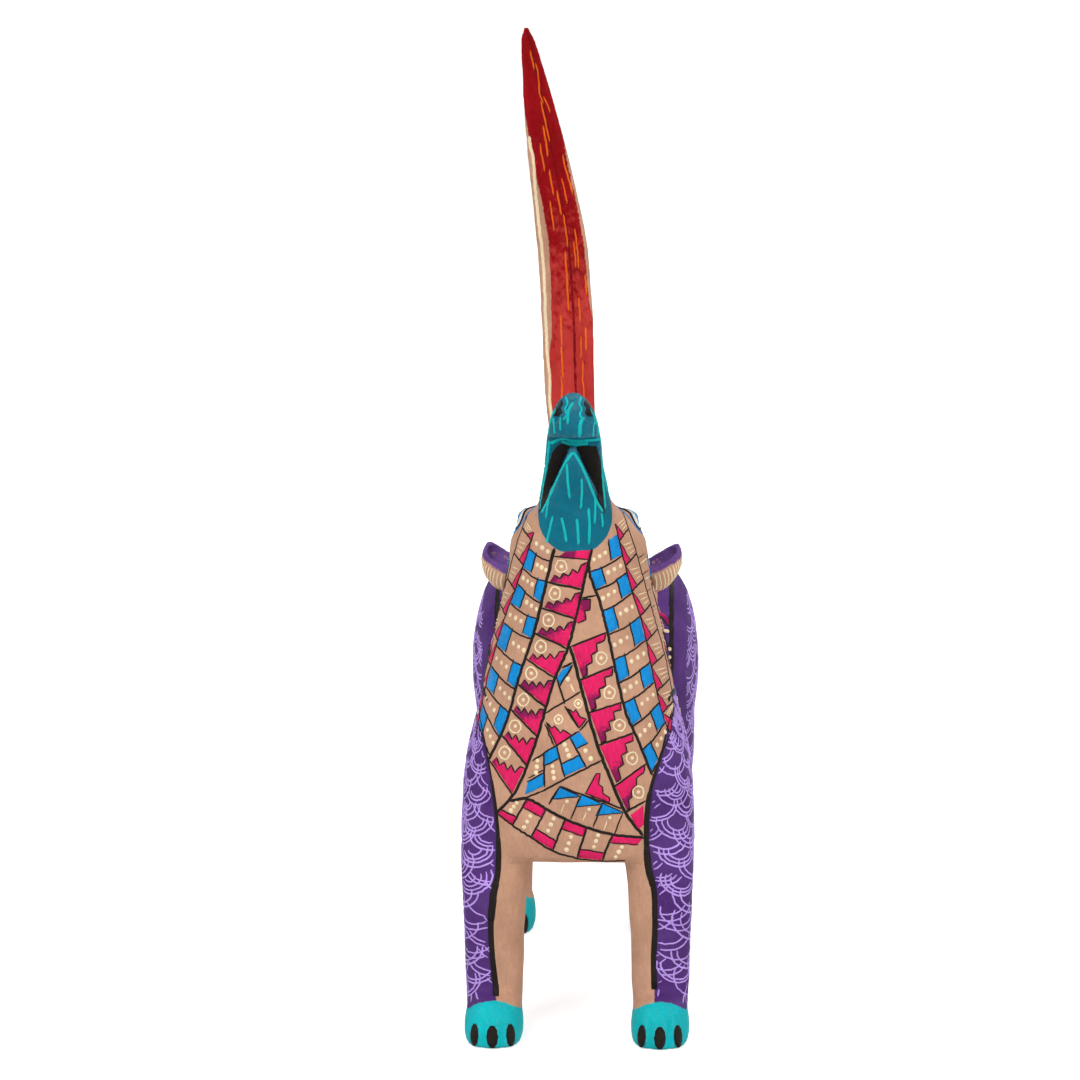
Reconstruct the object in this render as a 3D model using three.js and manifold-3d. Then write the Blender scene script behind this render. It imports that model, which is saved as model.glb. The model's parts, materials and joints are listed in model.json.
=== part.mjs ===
// Howling coyote, an alebrije: a carved and painted copal-wood figure about 305 mm high.
// The trunk, neck and head are one block. Four legs lap onto its flanks with flat glued faces and
// two dowels each, and the ears and the leaf-shaped tail plug into sockets and pull out again.
// Millimetres, +Z up, front of the figure towards -Y, origin under the middle of the figure.

import * as THREE from 'three';
import { ParametricGeometry } from 'three/addons/geometries/ParametricGeometry.js';
import { mergeVertices } from 'three/addons/utils/BufferGeometryUtils.js';
import Module from 'manifold-3d';

const wasm = await Module();
wasm.setup();

// Fits
const GLUE_GAP = 0.3; // between two glued faces
const PEG_CLEARANCE = 0.3; // round a dowel, tenon or peg, on the radius
const PEG_END_ROOM = 0.5; // below the end of a dowel, tenon or peg in its hole

// Chest, neck and head
const CHEST_WIDTH = 74.6;
const CHEST_FRONT = -87; // furthest forward point of the chest
const CHEST_BOTTOM = 58; // flat underside between the front legs
const THROAT_HEIGHT = 160; // where the neck ends and the muzzle starts
const THROAT_WIDTH = 43;
const THROAT_SET_BACK = 9; // behind the furthest point of the chest
const MUZZLE_LENGTH = 49.8; // from the throat up to the top of the nose
const MUZZLE_WIDTH = 17.4;
const MUZZLE_REACH = 13; // the nose ends this far in front of the throat
const JAW_LENGTH = 34; // from the throat up to the tip of the lower jaw
const JAW_THICKNESS = 4.2;
const MOUTH_OPENING = 3.6; // between lower jaw and palate, at the tip of the jaw
const MOUTH_CORNER = 0.34; // share of the jaw's length where the mouth begins
const UPPER_LIP_RISE = 5.4; // above the tip of the lower jaw
const PALATE_RISE = 1.4;

// Trunk
const TRUNK_REAR = 76; // back of the rump
const WAIST_WIDTH = 54;
const HIP_WIDTH = 62;
const BACK_HEIGHT = 117; // lowest point of the back
const RUMP_HEIGHT = 133;
const WAIST_BOTTOM = 72;
const GROIN_BOTTOM = 62; // flat underside between the hind legs

// Legs
const LEG_SPREAD = 53; // centre to centre, left to right
const LEG_WIDTH = 19.2;
const FRONT_LEG_DEPTH = 21;
const FRONT_LEG_Y = -72;
const LAP_SPREAD = 48; // between the two glued faces of a pair of legs
const SHOULDER_TOP = 111;
const SHOULDER_DEPTH = 42; // front to back at the spring of the shoulder's arch
const SHOULDER_SPRING = 84;
const HAUNCH_DIAMETER = 66;
const HAUNCH_HEIGHT = 93; // of its centre
const HAUNCH_Y = 47;
const HAUNCH_SPREAD = 77; // across the bulges of both haunches
const HOCK_SET_BACK = 13; // hock behind the middle of the hind paw
const PAW_LENGTH = 29;
const PAW_WIDTH = 18.8;
const PAW_HEIGHT = 15.5;
const FRONT_PAW_Y = -77.5;
const HIND_PAW_Y = 44;

// Dowels, two in each lap joint
const DOWEL_DIAMETER = 5;
const DOWEL_IN_BODY = 10;
const DOWEL_IN_LEG = 7;
const DOWEL_SPACING = 17;
const DOWEL_CHAMFER = 0.6;

// Ears
const EAR_LENGTH = 19;
const EAR_WIDTH = 14;
const EAR_DEPTH = 10;
const EAR_RIM_RISE = 4; // of the scoop's rim above the ear's axis
const EAR_HOLLOW = 5; // depth of the scoop
const EAR_HOLLOW_WAY = new THREE.Vector3(0, 0.25, 1); // up and a little backward
const EAR_SEAT_DIAMETER = 14.4;
const EAR_PEG_DIAMETER = 4.4;
const EAR_PEG_LENGTH = 7;
const EAR_PEG_OVERLAP = 3; // how far the peg reaches into the scoop
const PEG_CHAMFER = 0.4;
const EAR_ROOT = new THREE.Vector3(20.4, -43.5, 142);
const EAR_TIP_LEFT = new THREE.Vector3(32.8, -29.1, 147.6);
const EAR_TIP_RIGHT = new THREE.Vector3(-30.8, -27.5, 147.6);

// Tail
const TAIL_TOP = 307.5;
const TAIL_WIDTH = 18; // at its widest
const TAIL_THICKNESS = 10;
const TAIL_GROOVE = 3.6; // depth of the V down its front
const TAIL_BACK_BULGE = 1.3; // round back, as a share of half the thickness
const TAIL_RIM = 0.35; // rims beside the V, likewise
const TAIL_ROOT = new THREE.Vector3(-1, 61, 129.5);
const TAIL_LEAN = 12; // degrees, its tenon leans back from the vertical
const TENON_DIAMETER = 7;
const TENON_LENGTH = 15;
const TAIL_SEAT_DIAMETER = 15; // flat spot round the tenon's socket

// Fineness of the curved faces
const RING_STEPS = 32;
const PEG_STEPS = 14;

const FAR = 400; // reach of cutting blocks

// ---------- solids and meshes ----------

function solidOf(geometry) {
  const bare = geometry.index ? geometry.toNonIndexed() : geometry.clone();
  bare.deleteAttribute('normal');
  bare.deleteAttribute('uv');
  const merged = mergeVertices(bare, 1e-4);
  const corners = merged.index.array;
  const kept = [];
  for (let i = 0; i < corners.length; i += 3) {
    const [a, b, c] = [corners[i], corners[i + 1], corners[i + 2]];
    if (a !== b && b !== c && c !== a) kept.push(a, b, c);
  }
  const vertProperties = new Float32Array(merged.attributes.position.array);
  const triVerts = new Uint32Array(kept);
  if (signedVolume(vertProperties, triVerts) < 0) triVerts.reverse();
  return new wasm.Manifold(new wasm.Mesh({ numProp: 3, vertProperties, triVerts }));
}

// Negative where the faces point inwards.
function signedVolume(positions, corners) {
  const [a, b, c] = [new THREE.Vector3(), new THREE.Vector3(), new THREE.Vector3()];
  let volume = 0;
  for (let i = 0; i < corners.length; i += 3) {
    a.fromArray(positions, 3 * corners[i]);
    b.fromArray(positions, 3 * corners[i + 1]);
    c.fromArray(positions, 3 * corners[i + 2]);
    volume += a.dot(b.cross(c)) / 6;
  }
  return volume;
}

function geometryOf(solid) {
  const { vertProperties, triVerts } = solid.getMesh();
  const geometry = new THREE.BufferGeometry();
  geometry.setAttribute('position', new THREE.BufferAttribute(vertProperties, 3));
  geometry.setIndex(new THREE.BufferAttribute(triVerts, 1));
  geometry.computeVertexNormals();
  return geometry;
}

function joined(first, ...rest) {
  return rest.reduce((sum, solid) => sum.add(solid), first);
}

function block(low, high) {
  const size = new THREE.Vector3().subVectors(high, low);
  const box = new THREE.BoxGeometry(size.x, size.y, size.z);
  box.translate((low.x + high.x) / 2, (low.y + high.y) / 2, (low.z + high.z) / 2);
  return solidOf(box);
}

// A side-view outline in (y, z), extruded right across the figure between two x values.
function acrossPrism(outline, xFrom, xTo) {
  const shape = new THREE.Shape(outline.map(([y, z]) => new THREE.Vector2(y, z)));
  const prism = new THREE.ExtrudeGeometry(shape, { depth: xTo - xFrom, bevelEnabled: false });
  const axes = new THREE.Matrix4().makeBasis(
    new THREE.Vector3(0, 1, 0), new THREE.Vector3(0, 0, 1), new THREE.Vector3(1, 0, 0));
  prism.applyMatrix4(axes);
  prism.translate(xFrom, 0, 0);
  return solidOf(prism);
}

// A smooth curve through hand-set stations: reads any column of them at a fraction t of the way.
function stationReader(stations) {
  const columns = stations[0].map((_, column) => {
    const points = stations.map((row, i) => new THREE.Vector3(i, row[column], 0));
    return new THREE.CatmullRomCurve3(points, false, 'centripetal');
  });
  return (t) => columns.map((curve) => curve.getPoint(t).y);
}

// One closed skin over rings that place(t) gives as { centre, right, forward, shape(angle) }.
// shape returns the ring's two coordinates, and both ends are drawn in to a point on the axis.
function loft(place, steps, ringSteps = RING_STEPS) {
  const skin = (u, v, target) => {
    const end = v < 1 / (2 * (steps + 2)) || v > 1 - 1 / (2 * (steps + 2));
    const t = THREE.MathUtils.clamp((v * (steps + 2) - 1) / steps, 0, 1);
    const ring = place(t);
    const [a, b] = end ? [0, 0] : ring.shape(u * 2 * Math.PI);
    target.copy(ring.centre).addScaledVector(ring.right, a).addScaledVector(ring.forward, b);
  };
  return solidOf(new ParametricGeometry(skin, ringSteps, steps + 2));
}

// A rounded ring: 2 is an ellipse, higher is squarer.
function roundedRing(halfWidth, halfDepth, squareness) {
  const power = 2 / squareness;
  return (angle) => {
    const c = Math.cos(angle);
    const s = Math.sin(angle);
    return [halfWidth * Math.sign(c) * Math.abs(c) ** power,
      halfDepth * Math.sign(s) * Math.abs(s) ** power];
  };
}

const X = new THREE.Vector3(1, 0, 0);
const Y = new THREE.Vector3(0, 1, 0);
const Z = new THREE.Vector3(0, 0, 1);

// Stations [z, x, half width, front y, back y, squareness] stacked upwards.
function uprightLoft(stations, steps, ringSteps) {
  const read = stationReader(stations);
  return loft((t) => {
    const [z, x, halfWidth, front, back, squareness] = read(t);
    const centre = new THREE.Vector3(x, (front + back) / 2, z);
    return { centre, right: X, forward: Y, shape: roundedRing(halfWidth, (back - front) / 2, squareness) };
  }, steps, ringSteps);
}

// Stations [y, half width, bottom z, top z, squareness] strung from front to back.
function levelLoft(stations, steps, ringSteps) {
  const read = stationReader(stations);
  return loft((t) => {
    const [y, halfWidth, bottom, top, squareness] = read(t);
    const centre = new THREE.Vector3(0, y, (bottom + top) / 2);
    return { centre, right: X, forward: Z, shape: roundedRing(halfWidth, (top - bottom) / 2, squareness) };
  }, steps, ringSteps);
}

// A round bar from a point, along a direction.
function bar(start, direction, length, radius, chamfer = 0) {
  const outline = [[0, 0], [radius - chamfer, 0], [radius, chamfer],
    [radius, length - chamfer], [radius - chamfer, length], [0, length]];
  const turned = new THREE.LatheGeometry(outline.map(([r, h]) => new THREE.Vector2(r, h)), PEG_STEPS);
  turned.applyQuaternion(new THREE.Quaternion().setFromUnitVectors(Y, direction));
  turned.translate(start.x, start.y, start.z);
  return solidOf(turned);
}

function mirrored(solid) {
  const geometry = geometryOf(solid);
  geometry.scale(-1, 1, 1);
  return solidOf(geometry);
}

// ---------- trunk, neck and head ----------

// Chest, neck, skull and muzzle as one upright form, muzzle to the sky.
function neckAndHead() {
  const nose = THROAT_HEIGHT + MUZZLE_LENGTH;
  const chest = CHEST_WIDTH / 2;
  const throat = THROAT_WIDTH / 2;
  const muzzle = MUZZLE_WIDTH / 2;
  const neck = (share) => THREE.MathUtils.lerp(chest, throat, share);
  const rise = (share) => THREE.MathUtils.lerp(CHEST_BOTTOM, THROAT_HEIGHT, share);
  const along = (share) => THROAT_HEIGHT + MUZZLE_LENGTH * share;
  const front = CHEST_FRONT;
  const throatFront = front + THROAT_SET_BACK;
  const lean = (share) => throatFront - MUZZLE_REACH * share;
  return uprightLoft([
    [CHEST_BOTTOM, 0, chest - 1.2, front + 7, -47, 3.2],
    [rise(0.03), 0, chest, front + 3.5, -44, 2.9],
    [rise(0.2), 0, neck(0.03), front, -36, 2.5],
    [rise(0.33), 0, neck(0.13), front - 1, -31, 2.3],
    [rise(0.47), 0, neck(0.37), front, -29, 2.2],
    [rise(0.62), 0, neck(0.57), front + 2.5, -29.5, 2.1],
    [rise(0.78), 0, neck(0.8), front + 5.5, -31.5, 2.1],
    [rise(0.9), 0, neck(0.95), front + 8, -34, 2.1],
    [rise(0.98), 0, throat, throatFront, -37.5, 2.1],
    [along(0.08), -0.2, throat - 3.6, lean(0.1), -42, 2.1],
    [along(0.17), -0.5, throat - 8, lean(0.2), -48.5, 2.2],
    [along(0.28), -0.8, muzzle + 2.3, lean(0.36), -54.5, 2.3],
    [along(0.5), -1, muzzle + 0.4, lean(0.66), -61, 2.4],
    [along(0.72), -1, muzzle - 0.6, lean(0.95), -67, 2.3],
    [along(0.86), -1, muzzle - 1.9, lean(1.1), -71, 2.2],
    [along(0.95), -1, muzzle - 4, lean(1.08), -76, 2.1],
    [nose, -1, muzzle - 6.6, lean(0.9), -81.5, 2],
  ], 36, 36);
}

// The slot of the open mouth, and the two side cuts that leave a pointed lower jaw.
function mouthCut() {
  const cornerZ = THROAT_HEIGHT + JAW_LENGTH * MOUTH_CORNER;
  const cornerY = CHEST_FRONT + THROAT_SET_BACK + 1.5;
  const tipZ = THROAT_HEIGHT + JAW_LENGTH;
  const tipY = CHEST_FRONT + THROAT_SET_BACK - MUZZLE_REACH * 0.84 + JAW_THICKNESS;
  const ahead = CHEST_FRONT - 20;
  const lip = [tipY + MOUTH_OPENING, tipZ + PALATE_RISE];
  const roof = [cornerY + 1, cornerZ + 2];
  const slot = acrossPrism([
    [ahead, tipZ + UPPER_LIP_RISE], [ahead, tipZ - 1], [tipY, tipZ - 0.6], [cornerY, cornerZ], roof, lip,
  ], -MUZZLE_WIDTH, MUZZLE_WIDTH);
  const beside = acrossPrism([
    [ahead, tipZ + UPPER_LIP_RISE], [ahead, cornerZ - 1], [cornerY, cornerZ], roof, lip,
  ], -MUZZLE_WIDTH, MUZZLE_WIDTH);
  const jawHalf = MUZZLE_WIDTH * 0.62;
  const jaw = new THREE.Shape([
    new THREE.Vector2(-2.2, tipZ + 9),
    new THREE.Vector2(-2.2, tipZ - 1.5),
    new THREE.Vector2(-1 - jawHalf, cornerZ - 1.5),
    new THREE.Vector2(-1 + jawHalf, cornerZ - 1.5),
    new THREE.Vector2(0.2, tipZ - 1.5),
    new THREE.Vector2(0.2, tipZ + 9),
  ]);
  const jawBar = new THREE.ExtrudeGeometry(jaw, { depth: 2 * FAR, bevelEnabled: false });
  jawBar.rotateX(Math.PI / 2);
  jawBar.translate(0, FAR, 0);
  return slot.add(beside.subtract(solidOf(jawBar)));
}

function trunk() {
  const waist = WAIST_WIDTH / 2;
  const hip = HIP_WIDTH / 2;
  return levelLoft([
    [-80, CHEST_WIDTH * 0.3, CHEST_BOTTOM + 9, 100, 2.2],
    [-62, CHEST_WIDTH * 0.43, CHEST_BOTTOM + 1, 116, 2.3],
    [-38, CHEST_WIDTH * 0.44, CHEST_BOTTOM + 1.4, 122, 2.3],
    [-18, waist + 3.5, CHEST_BOTTOM + 6, BACK_HEIGHT + 1.6, 2.3],
    [4, waist, WAIST_BOTTOM - 1, BACK_HEIGHT, 2.3],
    [24, hip - 1.4, WAIST_BOTTOM - 3, BACK_HEIGHT + 8, 2.5],
    [44, hip, GROIN_BOTTOM + 2, RUMP_HEIGHT, 3],
    [60, hip - 3, GROIN_BOTTOM + 4, RUMP_HEIGHT - 2.5, 2.8],
    [TRUNK_REAR - 4, hip - 10, GROIN_BOTTOM + 14, RUMP_HEIGHT - 15, 2.3],
    [TRUNK_REAR, 6, RUMP_HEIGHT - 42, RUMP_HEIGHT - 28, 2],
  ], 26, 32);
}

// ---------- lap joints between trunk and legs ----------

// Side view of the shoulder's rounded top, grown by a margin.
function shoulderOutline(margin) {
  const half = SHOULDER_DEPTH / 2 + margin;
  const rise = SHOULDER_TOP + margin - SHOULDER_SPRING;
  const middle = FRONT_LEG_Y + 9;
  const arch = new THREE.EllipseCurve(middle, SHOULDER_SPRING, half, rise, 0, Math.PI);
  const top = arch.getPoints(16).map((p) => [p.x, p.y]);
  return [[middle + half - 5, CHEST_BOTTOM - FAR], ...top, [middle - half, CHEST_BOTTOM - FAR]];
}

// Side view of the round haunch, grown by a margin.
function haunchOutline(margin) {
  const radius = HAUNCH_DIAMETER / 2 + margin;
  const circle = new THREE.EllipseCurve(HAUNCH_Y, HAUNCH_HEIGHT, radius, radius, 0, 2 * Math.PI);
  return circle.getPoints(RING_STEPS).slice(0, -1).map((p) => [p.x, p.y]);
}

// What the trunk gives up to a pair of legs: everything outside the two glued faces.
function lapPocket(outline) {
  const face = LAP_SPREAD / 2 - GLUE_GAP / 2;
  return acrossPrism(outline, face, FAR).add(acrossPrism(outline, -FAR, -face));
}

const FRONT_DOWELS = [-DOWEL_SPACING / 2, DOWEL_SPACING / 2].map((shift) => (
  new THREE.Vector3(0, FRONT_LEG_Y + 9 + shift, SHOULDER_SPRING - 1)));
const HIND_DOWELS = [-DOWEL_SPACING / 2, DOWEL_SPACING / 2].map((shift) => (
  new THREE.Vector3(0, HAUNCH_Y + shift, HAUNCH_HEIGHT)));

// Dowels of the left side lie along +X across the glued face.
function dowelBar(centre, radius, endRoom, chamfer) {
  const start = new THREE.Vector3(LAP_SPREAD / 2 - DOWEL_IN_BODY - endRoom, centre.y, centre.z);
  return bar(start, X, DOWEL_IN_BODY + DOWEL_IN_LEG + 2 * endRoom, radius, chamfer);
}

function dowelHoles(centres) {
  const bores = centres.map((centre) => (
    dowelBar(centre, DOWEL_DIAMETER / 2 + PEG_CLEARANCE, PEG_END_ROOM, 0)));
  return joined(...bores);
}

// ---------- tail and ears: pegs and the sockets that take them ----------

const TAIL_AXIS = new THREE.Vector3(0, Math.sin(THREE.MathUtils.degToRad(TAIL_LEAN)),
  Math.cos(THREE.MathUtils.degToRad(TAIL_LEAN)));

function socket(root, axis, pegDiameter, pegLength) {
  const depth = pegLength + PEG_END_ROOM;
  const start = root.clone().addScaledVector(axis, -depth);
  return bar(start, axis, depth + FAR / 20, pegDiameter / 2 + PEG_CLEARANCE);
}

function seatCut(root, axis, diameter) {
  return bar(root, axis, FAR / 10, diameter / 2);
}

function earAxis(tip) {
  const root = EAR_ROOT.clone();
  root.x *= Math.sign(tip.x);
  return { root, axis: new THREE.Vector3().subVectors(tip, root).normalize() };
}

const EARS = { left: earAxis(EAR_TIP_LEFT), right: earAxis(EAR_TIP_RIGHT) };

function trunkBlock() {
  const laps = lapPocket(shoulderOutline(GLUE_GAP)).add(lapPocket(haunchOutline(GLUE_GAP)));
  const frontHoles = dowelHoles(FRONT_DOWELS);
  const hindHoles = dowelHoles(HIND_DOWELS);
  let solid = neckAndHead().subtract(mouthCut()).add(trunk());
  solid = solid.subtract(laps);
  solid = solid.subtract(joined(frontHoles, hindHoles, mirrored(frontHoles), mirrored(hindHoles)));
  solid = solid.subtract(seatCut(TAIL_ROOT, TAIL_AXIS, TAIL_SEAT_DIAMETER + 2 * PEG_CLEARANCE));
  solid = solid.subtract(socket(TAIL_ROOT, TAIL_AXIS, TENON_DIAMETER, TENON_LENGTH));
  for (const { root, axis } of Object.values(EARS)) {
    solid = solid.subtract(seatCut(root, axis, EAR_SEAT_DIAMETER));
    solid = solid.subtract(socket(root, axis, EAR_PEG_DIAMETER, EAR_PEG_LENGTH));
  }
  return solid;
}

// ---------- legs, left side ----------

function paw(centreY) {
  const reach = PAW_LENGTH / 2;
  const half = PAW_WIDTH / 2;
  const x = LEG_SPREAD / 2;
  return uprightLoft([
    [0, x, half - 0.8, centreY - reach + 1.2, centreY + reach - 2, 2.6],
    [PAW_HEIGHT * 0.14, x, half, centreY - reach, centreY + reach - 0.6, 2.6],
    [PAW_HEIGHT * 0.42, x, half, centreY - reach + 0.4, centreY + reach - 0.8, 2.5],
    [PAW_HEIGHT * 0.75, x, half - 1, centreY - reach + 3, centreY + reach - 3, 2.4],
    [PAW_HEIGHT * 0.94, x, half - 3.4, centreY - reach + 7, centreY + reach - 6, 2.3],
    [PAW_HEIGHT, x, 2.5, centreY - 3, centreY + 3, 2],
  ], 8, 20);
}

function frontLimb() {
  const x = LEG_SPREAD / 2;
  const half = LEG_WIDTH / 2;
  const front = FRONT_LEG_Y - FRONT_LEG_DEPTH / 2;
  const back = FRONT_LEG_Y + FRONT_LEG_DEPTH / 2;
  return uprightLoft([
    [2, x, half - 1.4, front + 2, back - 1, 2.6],
    [CHEST_BOTTOM * 0.3, x, half - 0.4, front + 2.6, back - 1, 2.6],
    [CHEST_BOTTOM * 0.55, x, half, front + 1.4, back - 0.4, 2.6],
    [CHEST_BOTTOM * 0.75, x, half + 0.4, front + 0.6, back + 0.6, 2.6],
    [CHEST_BOTTOM * 0.92, x - 0.4, half + 1.2, front + 0.4, back + 3, 2.8],
    [CHEST_BOTTOM + 6, x - 1, half + 1.8, front + 1.5, back + 6, 2.8],
    [CHEST_BOTTOM + 18, x - 2, half + 0.6, front + 4, back + 9, 2.6],
  ], 12, 24);
}

function hindLimb() {
  const x = LEG_SPREAD / 2;
  const half = LEG_WIDTH / 2;
  const heel = HIND_PAW_Y + HOCK_SET_BACK;
  const top = HAUNCH_HEIGHT;
  return uprightLoft([
    [2, x, half - 1.6, heel - 12, heel + 1, 2.5],
    [top * 0.15, x, half - 1.6, heel - 9, heel + 5, 2.5],
    [top * 0.3, x, half - 1, heel - 7, heel + 9, 2.4],
    [top * 0.42, x, half - 0.4, heel - 12, heel + 8, 2.4],
    [top * 0.55, x, half, heel - 21, heel + 8, 2.5],
    [top * 0.66, x + 0.6, half + 0.4, heel - 29, heel + 8, 2.6],
    [top * 0.8, x + 1.2, half, heel - 33, heel + 7, 2.6],
    [top, x + 2, half - 2, heel - 26, heel + 4, 2.4],
  ], 14, 24);
}

// The round bulge of the haunch, turned about its own side-to-side axis.
function haunch() {
  const radius = HAUNCH_DIAMETER / 2;
  const face = LAP_SPREAD / 2 - GLUE_GAP;
  const bulge = HAUNCH_SPREAD / 2 - face;
  const rim = 3.2;
  const dome = new THREE.EllipseCurve(0, rim, radius, bulge - rim, 0, Math.PI / 2);
  const outline = [new THREE.Vector2(0, 0), new THREE.Vector2(radius, 0), ...dome.getPoints(7)];
  outline[outline.length - 1].x = 0;
  const turned = new THREE.LatheGeometry(outline, RING_STEPS);
  turned.rotateZ(-Math.PI / 2);
  turned.translate(face, HAUNCH_Y, HAUNCH_HEIGHT);
  return solidOf(turned);
}

// Takes the trunk's share away: inside the glued face above the shelf that the trunk rests on.
function fitted(limb, shelf, dowels) {
  const face = LAP_SPREAD / 2 + GLUE_GAP / 2;
  const corner = new THREE.Vector3(-FAR, -FAR, shelf - GLUE_GAP);
  const trunkShare = block(corner, new THREE.Vector3(face, FAR, FAR));
  return limb.subtract(trunkShare).subtract(dowelHoles(dowels));
}

function aboveGround(solid) {
  const ground = block(new THREE.Vector3(-FAR, -FAR, -FAR), new THREE.Vector3(FAR, FAR, 0));
  return solid.subtract(ground);
}

function frontLeg() {
  const sleeve = neckAndHead().add(trunk()).intersect(acrossPrism(shoulderOutline(0), LAP_SPREAD / 4, FAR));
  const limb = joined(frontLimb(), paw(FRONT_PAW_Y), sleeve);
  return aboveGround(fitted(limb, CHEST_BOTTOM, FRONT_DOWELS));
}

function hindLeg() {
  const lower = block(new THREE.Vector3(0, -FAR, 0), new THREE.Vector3(FAR, FAR, HAUNCH_HEIGHT));
  const shank = hindLimb().intersect(lower);
  const limb = joined(shank, paw(HIND_PAW_Y), haunch());
  return aboveGround(fitted(limb, GROIN_BOTTOM, HIND_DOWELS));
}

// ---------- ears ----------

// A leaf-shaped scoop along +Y with its hollow facing +Z, its peg reaching back along -Y.
function earBlade() {
  const half = EAR_WIDTH / 2;
  const deep = EAR_DEPTH / 2;
  const read = stationReader([
    [0, half * 0.6, deep * 0.9],
    [0.18, half * 0.85, deep],
    [0.42, half, deep * 0.88],
    [0.68, half * 0.8, deep * 0.64],
    [0.88, half * 0.45, deep * 0.38],
    [1, half * 0.12, deep * 0.1],
  ]);
  const leaf = loft((t) => {
    const [share, halfWidth, halfDepth] = read(t);
    const centre = new THREE.Vector3(0, PEG_CLEARANCE + share * EAR_LENGTH, EAR_RIM_RISE - halfDepth);
    return { centre, right: X, forward: Z, shape: roundedRing(halfWidth, halfDepth, 2.5) };
  }, 10, 18);
  const scoop = new THREE.SphereGeometry(1, 16, 9);
  scoop.rotateX(Math.PI / 2);
  scoop.scale(half * 0.74, EAR_LENGTH * 0.4, EAR_HOLLOW);
  scoop.translate(0, EAR_LENGTH * 0.49, EAR_RIM_RISE);
  const foot = new THREE.Vector3(0, -EAR_PEG_LENGTH, 0);
  const peg = bar(foot, Y, EAR_PEG_LENGTH + EAR_PEG_OVERLAP, EAR_PEG_DIAMETER / 2, PEG_CHAMFER);
  return leaf.subtract(solidOf(scoop)).add(peg);
}

// Turns the blade so that +Y follows the ear's axis and the hollow looks up.
function earGeometry({ root, axis }) {
  const side = new THREE.Vector3().crossVectors(axis, EAR_HOLLOW_WAY).normalize();
  const hollow = new THREE.Vector3().crossVectors(side, axis);
  const geometry = geometryOf(earBlade());
  geometry.applyMatrix4(new THREE.Matrix4().makeBasis(side, axis, hollow));
  geometry.translate(root.x, root.y, root.z);
  return geometry;
}

// ---------- tail ----------

// Closed ring of a leaf with a round back and a V down its front, between two low rims.
function grooveRing(halfWidth, halfThickness, groove) {
  return (angle) => {
    const across = Math.cos(angle);
    if (angle <= Math.PI) return [halfWidth * across, halfThickness * TAIL_BACK_BULGE * Math.sin(angle)];
    const rim = halfThickness * TAIL_RIM * Math.sin(Math.PI * Math.abs(across) ** 3);
    return [halfWidth * across, groove * (1 - Math.abs(across)) - rim];
  };
}

function tail() {
  const half = TAIL_WIDTH / 2;
  const thick = TAIL_THICKNESS / 2;
  const slope = Math.tan(THREE.MathUtils.degToRad(TAIL_LEAN));
  const start = TAIL_ROOT.z + 2 * GLUE_GAP + slope * TAIL_SEAT_DIAMETER / 2;
  const rise = (share) => THREE.MathUtils.lerp(start, TAIL_TOP, share);
  const root = TAIL_ROOT;
  const read = stationReader([
    [start, root.x, root.y + 0.4, half * 0.56, thick * 0.95, 0.2],
    [rise(0.06), root.x - 1, root.y + 3.4, half * 0.7, thick, 0.5],
    [rise(0.16), root.x - 3.2, root.y + 8.8, half * 0.88, thick, TAIL_GROOVE * 0.7],
    [rise(0.28), root.x - 5.2, root.y + 14, half * 0.96, thick, TAIL_GROOVE],
    [rise(0.42), root.x - 6, root.y + 17.5, half, thick, TAIL_GROOVE],
    [rise(0.56), root.x - 7.6, root.y + 18, half * 0.97, thick, TAIL_GROOVE],
    [rise(0.68), root.x - 10.6, root.y + 16, half * 0.87, thick * 0.92, TAIL_GROOVE * 0.9],
    [rise(0.8), root.x - 14, root.y + 12.4, half * 0.69, thick * 0.8, TAIL_GROOVE * 0.7],
    [rise(0.9), root.x - 16.8, root.y + 8.2, half * 0.47, thick * 0.62, TAIL_GROOVE * 0.5],
    [rise(0.97), root.x - 18.8, root.y + 4.8, half * 0.29, thick * 0.42, TAIL_GROOVE * 0.3],
    [TAIL_TOP, root.x - 19.4, root.y + 3, half * 0.08, thick * 0.2, 0],
  ]);
  const leaf = loft((t) => {
    const [z, x, y, halfWidth, halfThickness, groove] = read(t);
    return { centre: new THREE.Vector3(x, y, z), right: X, forward: Y,
      shape: grooveRing(halfWidth, halfThickness, groove) };
  }, 28, 24);
  const below = TAIL_ROOT.clone().addScaledVector(TAIL_AXIS, GLUE_GAP);
  const foot = bar(below, TAIL_AXIS, 6, TAIL_SEAT_DIAMETER / 2 - 2, 0.8);
  const tenonStart = TAIL_ROOT.clone().addScaledVector(TAIL_AXIS, -TENON_LENGTH);
  const tenon = bar(tenonStart, TAIL_AXIS, TENON_LENGTH + 4, TENON_DIAMETER / 2, 0.6);
  return leaf.add(foot).add(tenon);
}

// ---------- assembly ----------

const tanPaint = new THREE.MeshStandardMaterial({ color: 0xc39a80, roughness: 0.55, metalness: 0 });
const purplePaint = new THREE.MeshStandardMaterial({ color: 0x5a3a86, roughness: 0.5, metalness: 0 });
const redPaint = new THREE.MeshStandardMaterial({ color: 0xa81018, roughness: 0.5, metalness: 0 });
const bareCopal = new THREE.MeshStandardMaterial({ color: 0xd9c3a0, roughness: 0.8, metalness: 0 });

const figure = new THREE.Group();

function place(name, geometry, material) {
  const mesh = new THREE.Mesh(geometry, material);
  mesh.name = name;
  figure.add(mesh);
}

place('body', geometryOf(trunkBlock()), tanPaint);

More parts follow.
